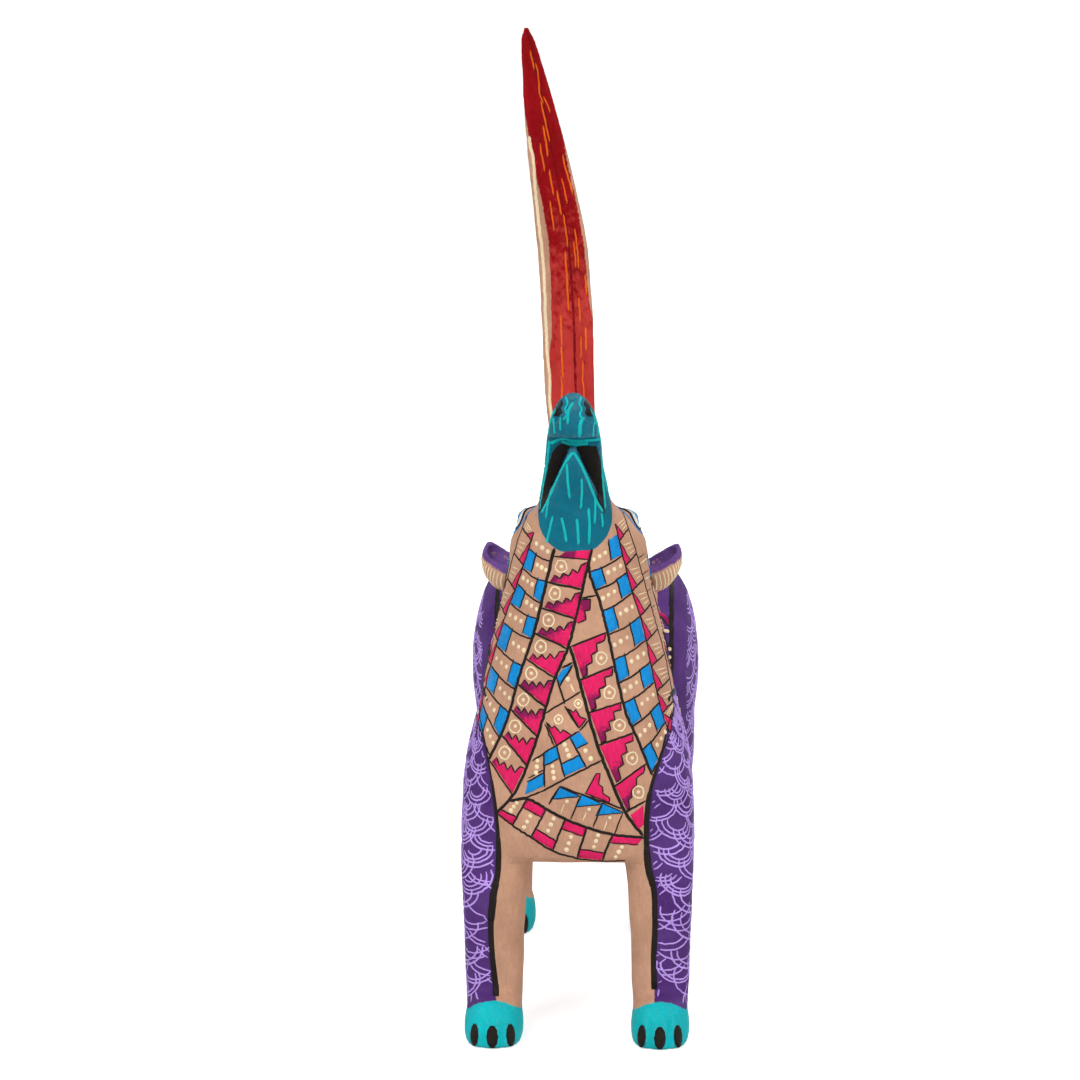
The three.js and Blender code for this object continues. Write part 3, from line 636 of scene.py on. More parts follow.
class Carving:
    """Trunk, neck, head and legs: one skin, parted along the lap joints."""

    # Swellings and hollows of the left of the face: what, centre, radii and height, in millimetres.
    FACE = (("eyeball", (16.4, -53, 165.5), (5.5, 6.5, 6), 2.3),
            ("brow", (12, -46, 172), (7, 9, 7), 1.2),
            ("cheek hollow", (11.5, -60, 176), (5, 8, 7), -0.9))
    NOSTRIL = Vector((6.4, -85.5, 204.5))
    NOSE_MIDDLE = -1.0

    def __init__(self) -> None:
        """Start with no pieces."""
        self.pieces: dict[str, bpy.types.Object] = {}
        self.tree: Optional[BVHTree] = None

    def build(self) -> None:
        """Build the whole skin, keep its shape for the painter, and part it."""
        whole = CarvedSkin("carving", ("body",) + LEGS, DOWELS, held=self._held, dabs=self._dabs()).build()
        self.tree = BVHTree.FromObject(whole, bpy.context.evaluated_depsgraph_get())
        cutters = {leg: self._cutter(leg) for leg in LEGS}
        for leg, cutter in cutters.items():
            self.pieces[leg] = self._cut(whole, [cutter], leg + "_skin", "INTERSECT")
        self.pieces["body"] = self._cut(whole, list(cutters.values()), "body_skin", "DIFFERENCE")
        for spare in [whole, *cutters.values()]:
            bpy.data.objects.remove(spare)

    def _held(self, places: np.ndarray) -> np.ndarray:
        """Hold the soles, the jaws and the sockets against smoothing."""
        strength = smooth_step(places[:, 2], 0.5 * MM, 4 * MM)
        jaws = smooth_step(places[:, 2], 170 * MM, 176 * MM) * (places[:, 1] < -70 * MM)
        return strength * (1 - 0.75 * jaws)

    def _dabs(self) -> list[Dab]:
        """Return the swellings and hollows of face, knees and toes."""
        dabs = []
        for sign in SIDES.values():
            leg_x = sign * FRONT_SOLE.x
            dabs += [Dab(Vector((sign * x, y, z)) * MM, Vector(radii) * MM, height * MM)
                     for _, (x, y, z), radii, height in self.FACE]
            nostril = Vector((sign * self.NOSTRIL.x + self.NOSE_MIDDLE, *self.NOSTRIL.yz))
            knee_inside = Vector((leg_x - sign * 8 * MM, FRONT_SOLE.y, 42 * MM))
            knee_front = Vector((leg_x, FRONT_SOLE.y - 6 * MM, 45 * MM))
            dabs += [Dab(nostril * MM, Vector((3.2, 4.2, 4.0)) * MM, -2.4 * MM),
                     Dab(knee_inside, Vector((6, 9, 12)) * MM, 0.9 * MM),
                     Dab(knee_front, Vector((9, 7, 10)) * MM, 0.8 * MM)]
            for end in (FRONT_SOLE, HIND_SOLE):
                for toe in (-1, 1):
                    groove = Vector((sign * end.x + toe * 3.1 * MM, end.y - 14 * MM, 5 * MM))
                    dabs.append(Dab(groove, Vector((1.5, 6, 7)) * MM, -0.8 * MM))
        return dabs

    def _cutter(self, leg: str) -> bpy.types.Object:
        """Return the solid that parts one leg from the whole skin."""
        sign = 1.0 if leg.endswith("left") else -1.0
        front = leg.startswith("front")
        shelf = CHEST_BOTTOM if front else GROIN
        inner_y = (-0.11, -0.03) if front else (0.004, 0.11)
        beyond = sign * 60 * MM
        low = self._block(sign * 5 * MM, beyond, *inner_y, -5 * MM, shelf)
        outline = self._shoulder_outline() if front else self._haunch_outline()
        parts = [self._prism(outline, sign * LAP_FACE, beyond)]
        if not front:
            parts.append(self._block(sign * LAP_FACE, beyond, 0.014, 0.11, shelf - 1 * MM, shelf + 4 * MM))
        for part in parts:
            self._boolean(low, part, "UNION")
        applied(low)
        for part in parts:
            bpy.data.objects.remove(part)
        return low

    @staticmethod
    def _boolean(target: bpy.types.Object, tool: bpy.types.Object, operation: str) -> None:
        """Add a boolean modifier that works a tool into a target."""
        change = target.modifiers.new("part", "BOOLEAN")
        change.operation = operation
        change.solver = "MANIFOLD"
        change.object = tool

    def _shoulder_outline(self) -> list[Point2]:
        """Return the side view of the shoulder's lap, as (y, z)."""
        rise = SHOULDER_TOP - SHOULDER_SPRING
        arch = [math.pi * i / 24 for i in range(25)]
        top = [(SHOULDER_Y + SHOULDER_REACH * math.cos(a), SHOULDER_SPRING + rise * math.sin(a))
               for a in arch]
        low = CHEST_BOTTOM - 3 * MM
        return [(SHOULDER_Y + SHOULDER_REACH - 5 * MM, low), *top, (SHOULDER_Y - SHOULDER_REACH, low)]

    def _haunch_outline(self) -> list[Point2]:
        """Return the side view of the haunch's lap, as (y, z)."""
        turn = [2 * math.pi * i / 48 for i in range(48)]
        return [(HAUNCH.y + HAUNCH_RADIUS * math.cos(a), HAUNCH.z + HAUNCH_RADIUS * math.sin(a))
                for a in turn]

    def _prism(self, outline: Sequence[Point2], x_from: float, x_to: float) -> bpy.types.Object:
        """Return a closed prism of a side-view outline between two x values."""
        form = bmesh.new()
        near = [form.verts.new((x_from, y, z)) for y, z in outline]
        face = form.faces.new(near)
        grown = bmesh.ops.extrude_face_region(form, geom=[face])
        moved = [item for item in grown["geom"] if isinstance(item, bmesh.types.BMVert)]
        bmesh.ops.translate(form, verts=moved, vec=(x_to - x_from, 0, 0))
        bmesh.ops.recalc_face_normals(form, faces=form.faces)
        mesh = bpy.data.meshes.new("cutter")
        form.to_mesh(mesh)
        form.free()
        return new_object("cutter", mesh)

    def _block(self, x_from: float, x_to: float, y_from: float, y_to: float,
               z_from: float, z_to: float) -> bpy.types.Object:
        """Return a closed box between pairs of x, y and z values."""
        outline = [(y_from, z_from), (y_to, z_from), (y_to, z_to), (y_from, z_to)]
        return self._prism(outline, x_from, x_to)

    def _cut(self, whole: bpy.types.Object, cutters: Sequence[bpy.types.Object], name: str,
             operation: str) -> bpy.types.Object:
        """Return a copy of the whole skin, cut by some solids."""
        piece = new_object(name, whole.data.copy())
        for cutter in cutters:
            self._boolean(piece, cutter, operation)
        applied(piece)
        shade_smooth(piece.data)
        return piece


# Lower edge of the teal muzzle: its height under the chin, its rise towards the cheeks, the half width
# over which it rises, and its height at the sides, in millimetres.
CHIN, CHEEK_RISE, CHEEK_HALF, CHEEK_TOP = 157.6, 7.5, 12.6, 177.5
# Teal of a paw: its height, its fall towards the sides, its half width and its reach, in metres.
PAW_TOP, PAW_FALL, PAW_HALF, PAW_REACH = 14.1 * MM, 5.0 * MM, 9.4 * MM, 24 * MM


def muzzle_zone(places: np.ndarray) -> np.ndarray:
    """Return how far each point lies inside the teal muzzle."""
    x, y, z = places.T / MM
    front = CHIN + CHEEK_RISE * np.clip(np.abs(x + 1) / CHEEK_HALF, 0, 1.15) ** 3.2
    edge = front + (CHEEK_TOP - front) * smooth_step(y, -76.0, -62.0)
    return (z - edge) * MM


def paw_zone(places: np.ndarray) -> np.ndarray:
    """Return how far each point lies inside the teal paws."""
    x, y, z = places.T
    best = np.full(len(places), -1.0)
    for sign in SIDES.values():
        for end in (FRONT_SOLE, HIND_SOLE):
            across = np.abs(x - sign * end.x) / PAW_HALF
            top = PAW_TOP - PAW_FALL * np.clip(across, 0, 1.2) ** 2.5
            behind = smooth_step(y, end.y + 1 * MM, end.y + 14 * MM)
            near = np.minimum(top - 2.5 * MM * behind - z, PAW_REACH - np.abs(y - end.y))
            best = np.maximum(best, np.minimum(near, 14 * MM - np.abs(x - sign * end.x)))
    return best


# Edge of the purple sleeves seen from the front, as (x, z) in millimetres from the shoulder down.
SLEEVE_EDGE = {
    "right": ((-31.6, 105.5), (-28.8, 95), (-26.6, 84), (-25.1, 72), (-24.7, 61), (-25.1, 54), (-26.3, 48.5),
              (-27.2, 38), (-26.9, 28), (-26.0, 19), (-25.0, 9)),
    "left": ((30.2, 106), (28.4, 101), (26.5, 93.5), (23.9, 85.5), (22.4, 78), (22.0, 67), (22.7, 57),
             (24.4, 50), (24.8, 38), (24.4, 27), (24.8, 9)),
}


def cuff_zone(places: np.ndarray) -> np.ndarray:
    """Return how far each point of the trunk lies inside a sleeve that runs on to the chest."""
    sides = [sleeve_zone(places, f"front_leg_{side}") for side in SIDES]
    ahead = SHOULDER_Y - 2 * MM - places[:, 1]
    return np.minimum(np.where(places[:, 0] > 0, sides[0], sides[1]), ahead)


def sleeve_zone(places: np.ndarray, leg: str) -> np.ndarray:
    """Return how far each point lies inside the purple outer side of a leg."""
    beyond = np.abs(places[:, 0]) - (LAP_FACE + 0.6 * MM)
    if leg.startswith("hind"):
        return beyond
    edge = np.array(SLEEVE_EDGE[leg.split("_")[-1]])[::-1] * MM
    ahead = np.abs(places[:, 0]) - np.interp(places[:, 2], edge[:, 1], np.abs(edge[:, 0]))
    behind = smooth_step(places[:, 1], SHOULDER_Y - 4 * MM, SHOULDER_Y + 4 * MM)
    across = np.clip((places[:, 1] - SHOULDER_Y) / SHOULDER_REACH, -1, 1)
    arch = SHOULDER_SPRING + (SHOULDER_TOP - SHOULDER_SPRING) * np.sqrt(1 - across ** 2) - 1.2 * MM
    return np.minimum(ahead * (1 - behind) + beyond * behind, arch - places[:, 2])


@dataclass
class Coyote:
    """Dresses the carved skins in their ground colours."""

    carving: Carving

    def dress(self) -> None:
        """Give each skin its zones and its ground coat, and let it stand for its CAD node."""
        muzzle = Zone("muzzle", MUZZLE_TEAL, MUZZLE_SHADE)
        sleeve = Zone("sleeve", PURPLE, PURPLE_SHADE)
        paws = Zone("paws", TEAL, TEAL_SHADE)
        body_coat = GroundCoat("coat_body", TAN, TAN_SHADE, (muzzle, sleeve)).material()
        leg_coat = GroundCoat("coat_legs", TAN, TAN_SHADE, (sleeve, paws)).material()
        for node, piece in self.carving.pieces.items():
            mesh = piece.data
            places = coordinates(mesh)
            crest_attribute(mesh)
            if node == "body":
                write_attribute(mesh, "muzzle", muzzle_zone(places))
                write_attribute(mesh, "sleeve", cuff_zone(places))
            else:
                write_attribute(mesh, "sleeve", sleeve_zone(places, node))
                write_attribute(mesh, "paws", paw_zone(places))
            mesh.materials.clear()
            mesh.materials.append(body_coat if node == "body" else leg_coat)
            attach(piece, FIGURE)
            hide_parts(node)
            LOG.info("%s: %d faces", piece.name, len(mesh.polygons))


# ---------------------------------------------------------------- brushwork on the skins


@dataclass
class Canvas:
    """A flat drawing space, in millimetres, that is thrown on to a skin along straight rays.

    The ray gives start and direction, in metres, for a drawing point. Paint sticks only where the
    surface faces the ray by more than the facing, and where the place is allowed.
    """

    tree: BVHTree
    ray: Callable[[float, float], tuple[Vector, Vector]]
    facing: float = -0.05
    allowed: Callable[[Vector, Vector], bool] = lambda place, normal: True

    def land(self, u: float, v: float) -> Optional[tuple[Vector, Vector]]:
        """Return where a drawing point lands and the surface's normal there, or None."""
        start, direction = self.ray(u, v)
        place, normal, _, _ = self.tree.ray_cast(start, direction)
        if place is None or normal.dot(direction) > self.facing or not self.allowed(place, normal):
            return None
        return place, normal


def front_canvas(tree: BVHTree, eye: Vector) -> Canvas:
    """Return a canvas seen from the eye: u is x and v is height on the plane of the chest."""
    def ray(u: float, v: float) -> tuple[Vector, Vector]:
        target = Vector((u * MM, CHEST_PLANE, v * MM))
        return eye, (target - eye).normalized()
    return Canvas(tree, ray, allowed=lambda place, normal: place.y < CHEST_BACK)


def side_canvas(tree: BVHTree, sign: float) -> Canvas:
    """Return a canvas seen from one side: u is y and v is height."""
    return Canvas(tree, lambda u, v: (Vector((sign * 0.2, u * MM, v * MM)), Vector((-sign, 0, 0))), -0.2)


def round_canvas(tree: BVHTree, axis: Vector, radius: float, sign: float = 1.0) -> Canvas:
    """Return a canvas rolled round an upright axis: u runs round it from the front, v is height."""
    def ray(u: float, v: float) -> tuple[Vector, Vector]:
        angle = u / radius
        out = Vector((sign * math.sin(angle), -math.cos(angle), 0))
        return Vector((axis.x, axis.y, v * MM)) + out * 0.06, -out
    return Canvas(tree, ray)


class Daub:
    """Collects raised paint of one colour into a single closed-surface mesh.

    Every patch goes a little way under the skin, so that no gap shows at its edge.
    """

    SINK: ClassVar[float] = 0.14
    ROOT: ClassVar[float] = 0.3
    COAT_ROOT: ClassVar[float] = 0.25
    LINE_HEIGHT: ClassVar[float] = 0.22
    DOT_HEIGHT: ClassVar[float] = 0.28
    COAT_HEIGHT: ClassVar[float] = 0.13
    DOT_SIDES: ClassVar[int] = 10
    REACH: ClassVar[float] = 5.5 * MM

    def __init__(self, finish: Brushwork) -> None:
        """Start an empty daub of one finish."""
        self.finish = finish
        self.points: list[Vector] = []
        self.faces: list[tuple[int, ...]] = []
        self.tones: list[float] = []

    def _add(self, points: Iterable[Vector], faces: Iterable[Sequence[int]], tones: Iterable[float]) -> None:
        """Add a patch whose faces count from its own first point."""
        base = len(self.points)
        self.points.extend(points)
        self.faces.extend(tuple(base + i for i in face) for face in faces)
        self.tones.extend(tones)

    def ribbon(self, spots: Sequence[tuple[Vector, Vector]], width: float, closed: bool = False,
               height: float = LINE_HEIGHT, taper: float = 0.45) -> None:
        """Lay one raised brush line.

        Args:
            spots: Place and normal of each point along the line.
            width: Full width, in millimetres.
            closed: Whether the line runs back into its start.
            height: Height of its crown, in millimetres.
            taper: Share of the width that is left at an open end.
        """
        count = len(spots)
        if count < 2:
            return
        flank = 0.55 * height
        profile = ((-1.0, -self.SINK), (-0.72, flank), (0.0, height), (0.72, flank), (1.0, -self.SINK),
                   (0.0, -self.ROOT))
        points: list[Vector] = []
        for i, (place, normal) in enumerate(spots):
            before = spots[i - 1][0] if i or closed else place
            after = spots[(i + 1) % count][0] if i < count - 1 or closed else place
            side = normal.cross(after - before)
            side = side.normalized() if side.length > 1e-12 else normal.orthogonal().normalized()
            end = 1.0 if closed or 0 < i < count - 1 else taper
            half = width / 2 * end
            points.extend(place + (side * (a * half) + normal * h) * MM for a, h in profile)
        sides = len(profile)
        faces: list[Sequence[int]] = []
        for i in range(count if closed else count - 1):
            here, there = i * sides, ((i + 1) % count) * sides
            for k in range(sides):
                faces.append((here + k, here + (k + 1) % sides, there + (k + 1) % sides, there + k))
        if not closed:
            faces.append(tuple(reversed(range(sides))))
            faces.append(tuple(range((count - 1) * sides, count * sides)))
        self._add(points, faces, [0.7] * len(points))

    def dot(self, spot: Optional[tuple[Vector, Vector]], radius: float, height: float = DOT_HEIGHT,
            stretch: float = 1.0) -> None:
        """Set one domed dot, longer up the surface where stretch is above 1."""
        if spot is None:
            return
        place, normal = spot
        up = Vector((0, 0, 1)) - normal * normal.z
        up = up.normalized() if up.length > 0.1 else normal.orthogonal().normalized()
        side = up.cross(normal)
        points = [place + normal * height * MM]
        sides = self.DOT_SIDES
        for share, level in ((0.62, 0.8 * height), (1.0, -self.SINK)):
            for k in range(sides):
                angle = 2 * math.pi * k / sides
                flat = side * math.cos(angle) + up * (math.sin(angle) * stretch)
                points.append(place + (flat * radius * share + normal * level) * MM)
        points.append(place - normal * self.ROOT * MM)
        last = len(points) - 1
        faces: list[Sequence[int]] = []
        for k in range(sides):
            n = (k + 1) % sides
            faces += [(0, 1 + k, 1 + n), (1 + k, 1 + sides + k, 1 + sides + n, 1 + n),
                      (last, 1 + sides + n, 1 + sides + k)]
        self._add(points, faces, [0.75] * len(points))

    def fill(self, canvas: Canvas, outline: Sequence[Point2], tone: Callable[[float, float], float],
             grid: float = 1.3, height: float = COAT_HEIGHT) -> None:
        """Fill an outline with a thin even coat.

        Args:
            canvas: Where the outline is drawn.
            outline: Its corners, in millimetres.
            tone: Gives 0 for the deep colour up to 1 for the bright one at a drawing point.
            grid: Spacing of the points inside.
            height: Thickness above the skin, in millimetres.
        """
        rim = densified(list(outline) + [outline[0]], grid)[:-1]
        (u0, u1), (v0, v1) = ((min(values), max(values)) for values in zip(*rim))
        inner = [(u0 + (i + 0.5) * grid, v0 + (j + 0.5) * grid)
                 for i in range(int((u1 - u0) / grid) + 1) for j in range(int((v1 - v0) / grid) + 1)]
        flat = [Vector(p) for p in rim + inner]
        edges = [(i, (i + 1) % len(rim)) for i in range(len(rim))]
        points, _, triangles, *_ = delaunay_2d_cdt(flat, edges, [], 1, 1e-5)
        landed = [canvas.land(p.x, p.y) for p in points]
        kept = [t for t in triangles if all(landed[i] for i in t) and self._near([landed[i][0] for i in t])]
        if not kept:
            return
        used = sorted({i for t in kept for i in t})
        index = {old: new for new, old in enumerate(used)}
        borders = dict.fromkeys(edge for t in kept for edge in zip(t, (t[1], t[2], t[0])))
        rim_edges = [(a, b) for (a, b) in borders if (b, a) not in borders]
        top, bottom, tones = [], [], []
        for old in used:
            place, normal = landed[old]
            top.append(place + normal * height * MM)
            bottom.append(place - normal * self.COAT_ROOT * MM)
            tones.append(tone(points[old].x, points[old].y))
        count = len(used)
        first = kept[0]
        a, b, c = (top[index[i]] for i in first)
        outward = (b - a).cross(c - a).dot(landed[first[0]][1]) > 0
        turn = (lambda face: face) if outward else (lambda face: tuple(reversed(face)))
        faces = [turn(tuple(index[i] for i in t)) for t in kept]
        faces += [turn(tuple(count + index[i] for i in reversed(t))) for t in kept]
        faces += [turn((index[b], index[a], count + index[a], count + index[b])) for a, b in rim_edges]
        self._add(top + bottom, faces, tones + tones)

    @classmethod
    def _near(cls, corners: Sequence[Vector]) -> bool:
        """Say whether a landed triangle has kept together on the surface."""
        return max((a - b).length for a in corners for b in corners) < cls.REACH

    def piece(self, name: str, body: str = FIGURE) -> Optional[bpy.types.Object]:
        """Make the mesh, dress it and let it ride.

        Args:
            name: Name of the piece.
            body: CAD body that it moves with.

        Returns:
            The new object, or None where nothing was painted.
        """
        if not self.points:
            return None
        mesh = bpy.data.meshes.new(name)
        mesh.from_pydata([tuple(p) for p in self.points], [], self.faces)
        mesh.update()
        shade_smooth(mesh)
        write_attribute(mesh, "tone", np.array(self.tones))
        mesh.materials.append(self.finish.material())
        made = new_object(name, mesh)
        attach(made, body)
        LOG.info("%s: %d faces", name, len(mesh.polygons))
        return made


def densified(points: Sequence[Point2], spacing: float) -> list[Point2]:
    """Return a polyline with extra points so that no step is longer than the spacing."""
    result = [points[0]]
    for (u0, v0), (u1, v1) in zip(points, points[1:]):
        steps = max(1, math.ceil(math.hypot(u1 - u0, v1 - v0) / spacing))
        result += [(u0 + (u1 - u0) * k / steps, v0 + (v1 - v0) * k / steps) for k in range(1, steps + 1)]
    return result


def along(points: Sequence[Point2], t: float) -> Point2:
    """Return the point at a share t of the way along a smooth curve through some points."""
    spans = len(points) - 1
    place = min(max(t, 0.0), 1.0) * spans
    i = min(int(place), spans - 1)
    f = place - i
    p = [points[max(i - 1, 0)], points[i], points[i + 1], points[min(i + 2, spans)]]
    def blend(k: int) -> float:
        a, b, c, d = (q[k] for q in p)
        square, cube = 2 * a - 5 * b + 4 * c - d, 3 * b - a - 3 * c + d
        return 0.5 * (2 * b + (c - a) * f + square * f * f + cube * f ** 3)
    return blend(0), blend(1)


def share_at(points: Sequence[Point2], v: float) -> float:
    """Return how far along a falling or rising curve a height v lies, from 0 to 1."""
    low, high = 0.0, 1.0
    rising = along(points, 1)[1] > along(points, 0)[1]
    for _ in range(26):
        mid = (low + high) / 2
        if (along(points, mid)[1] < v) == rising:
            low = mid
        else:
            high = mid
    return (low + high) / 2


def at_height(points: Sequence[Point2], v: float) -> Point2:
    """Return the point of a falling or rising curve at a height v."""
    return along(points, share_at(points, v))


@dataclass
class Palette:
    """One daub of each colour for one part of the figure, with a hand's small unevenness."""

    COLOURS: ClassVar[tuple[str, ...]] = ("black", "cream", "pink", "blue", "teal", "lilac", "orange")
    JUMP: ClassVar[float] = 4.5 * MM

    part: str
    canvas: Canvas
    body: str = FIGURE
    seed: int = 1
    black: Daub = field(default_factory=lambda: Daub(LINE_BLACK))
    cream: Daub = field(default_factory=lambda: Daub(DOT_CREAM))
    pink: Daub = field(default_factory=lambda: Daub(FRET_PINK))
    blue: Daub = field(default_factory=lambda: Daub(BLOCK_BLUE))
    teal: Daub = field(default_factory=lambda: Daub(STROKE_TEAL))
    lilac: Daub = field(default_factory=lambda: Daub(STROKE_LILAC))
    orange: Daub = field(default_factory=lambda: Daub(STROKE_ORANGE))

    def __post_init__(self) -> None:
        """Seed the hand."""
        self.hand = random.Random(self.seed)

    def line(self, daub: Daub, points: Sequence[Point2], width: float, wobble: float = 0.12,
             spacing: float = 1.3, closed: bool = False, taper: float = 0.5,
             height: float = Daub.LINE_HEIGHT) -> None:
        """Draw a hand-held line through some drawing points.

        Args:
            daub: Colour that it is drawn in.
            points: Points that it passes, in millimetres.
            width: Width of the line.
            wobble: How far the hand strays.
            spacing: Longest step along the line.
            closed: Whether it is a loop.
            taper: Share of the width left at its ends.
            height: Height of its crown.
        """
        track = densified(list(points) + ([points[0]] if closed else []), spacing)
        if closed:
            track = track[:-1]
        run: list[tuple[Vector, Vector]] = []
        for u, v in track:
            u_stray, v_stray = self.hand.uniform(-wobble, wobble), self.hand.uniform(-wobble, wobble)
            spot = self.canvas.land(u + u_stray, v + v_stray)
            broken = spot is None or (run and (spot[0] - run[-1][0]).length > self.JUMP)
            if broken:
                daub.ribbon(run, width * self.hand.uniform(0.9, 1.1), taper=taper, height=height)
                run = []
            if spot:
                run.append(spot)
        whole = closed and len(run) == len(track)
        daub.ribbon(run, width * self.hand.uniform(0.9, 1.1), closed=whole, taper=taper, height=height)

    def curve(self, daub: Daub, points: Sequence[Point2], width: float, **options: float) -> None:
        """Draw a smooth line through a few points."""
        steps = 5 * (len(points) - 1)
        self.line(daub, [along(points, k / steps) for k in range(steps + 1)], width, **options)

    def ring(self, centre: Point2, radius: float, stretch: float = 1.15) -> None:
        """Paint a cream ring with a dot in its middle."""
        turn = [2 * math.pi * k / 12 for k in range(12)]
        loop = [(centre[0] + radius * math.cos(a) * self.hand.uniform(0.9, 1.1),
                 centre[1] + radius * stretch * math.sin(a) * self.hand.uniform(0.9, 1.1)) for a in turn]
        self.line(self.cream, loop, 0.62, wobble=0.03, spacing=2.0, closed=True, height=0.28)
        self.cream.dot(self.canvas.land(*centre), 0.72, 0.3)

    def dot(self, centre: Point2, radius: float = 0.85, stretch: float = 1.1) -> None:
        """Paint one cream dot."""
        self.cream.dot(self.canvas.land(*centre), radius * self.hand.uniform(0.85, 1.12), stretch=stretch)

    def finish(self) -> None:
        """Turn each colour that was used into a piece."""
        for colour in self.COLOURS:
            getattr(self, colour).piece(f"{self.part}_{colour}", self.body)


class Motif(Enum):
    """What a cell of a painted band holds."""

    FRET = 1
    DOTS = 2
    BLUE_DOTS = 3
    DOTS_BLUE = 4
    TRIANGLES = 5
    HATCH = 6
    PINK_DOTS = 7
    DOTS_PINK = 8


@dataclass
class Cell:
    """A four-cornered cell: near start, near end, far end, far start, in millimetres."""

    corners: tuple[Point2, Point2, Point2, Point2]

    def at(self, s: float, t: float) -> Point2:
        """Return the drawing point at share s across and share t up the cell."""
        (a, b, c, d) = self.corners
        return tuple((1 - t) * ((1 - s) * a[k] + s * b[k]) + t * ((1 - s) * d[k] + s * c[k]) for k in (0, 1))

    def path(self, shares: Sequence[Point2]) -> list[Point2]:
        """Return drawing points for shares of the cell."""
        return [self.at(s, t) for s, t in shares]


STEPS = ((0.10, 0.05), (0.96, 0.05), (0.96, 0.90), (0.83, 0.80), (0.78, 0.52), (0.62, 0.60), (0.56, 0.36),
         (0.40, 0.44), (0.34, 0.22), (0.16, 0.30))
STEPS_RIGHT = ((0.05, 0.97), (0.94, 0.97), (0.88, 0.80), (0.66, 0.80), (0.64, 0.58), (0.46, 0.56),
               (0.44, 0.34), (0.28, 0.32), (0.24, 0.06), (0.10, 0.05))


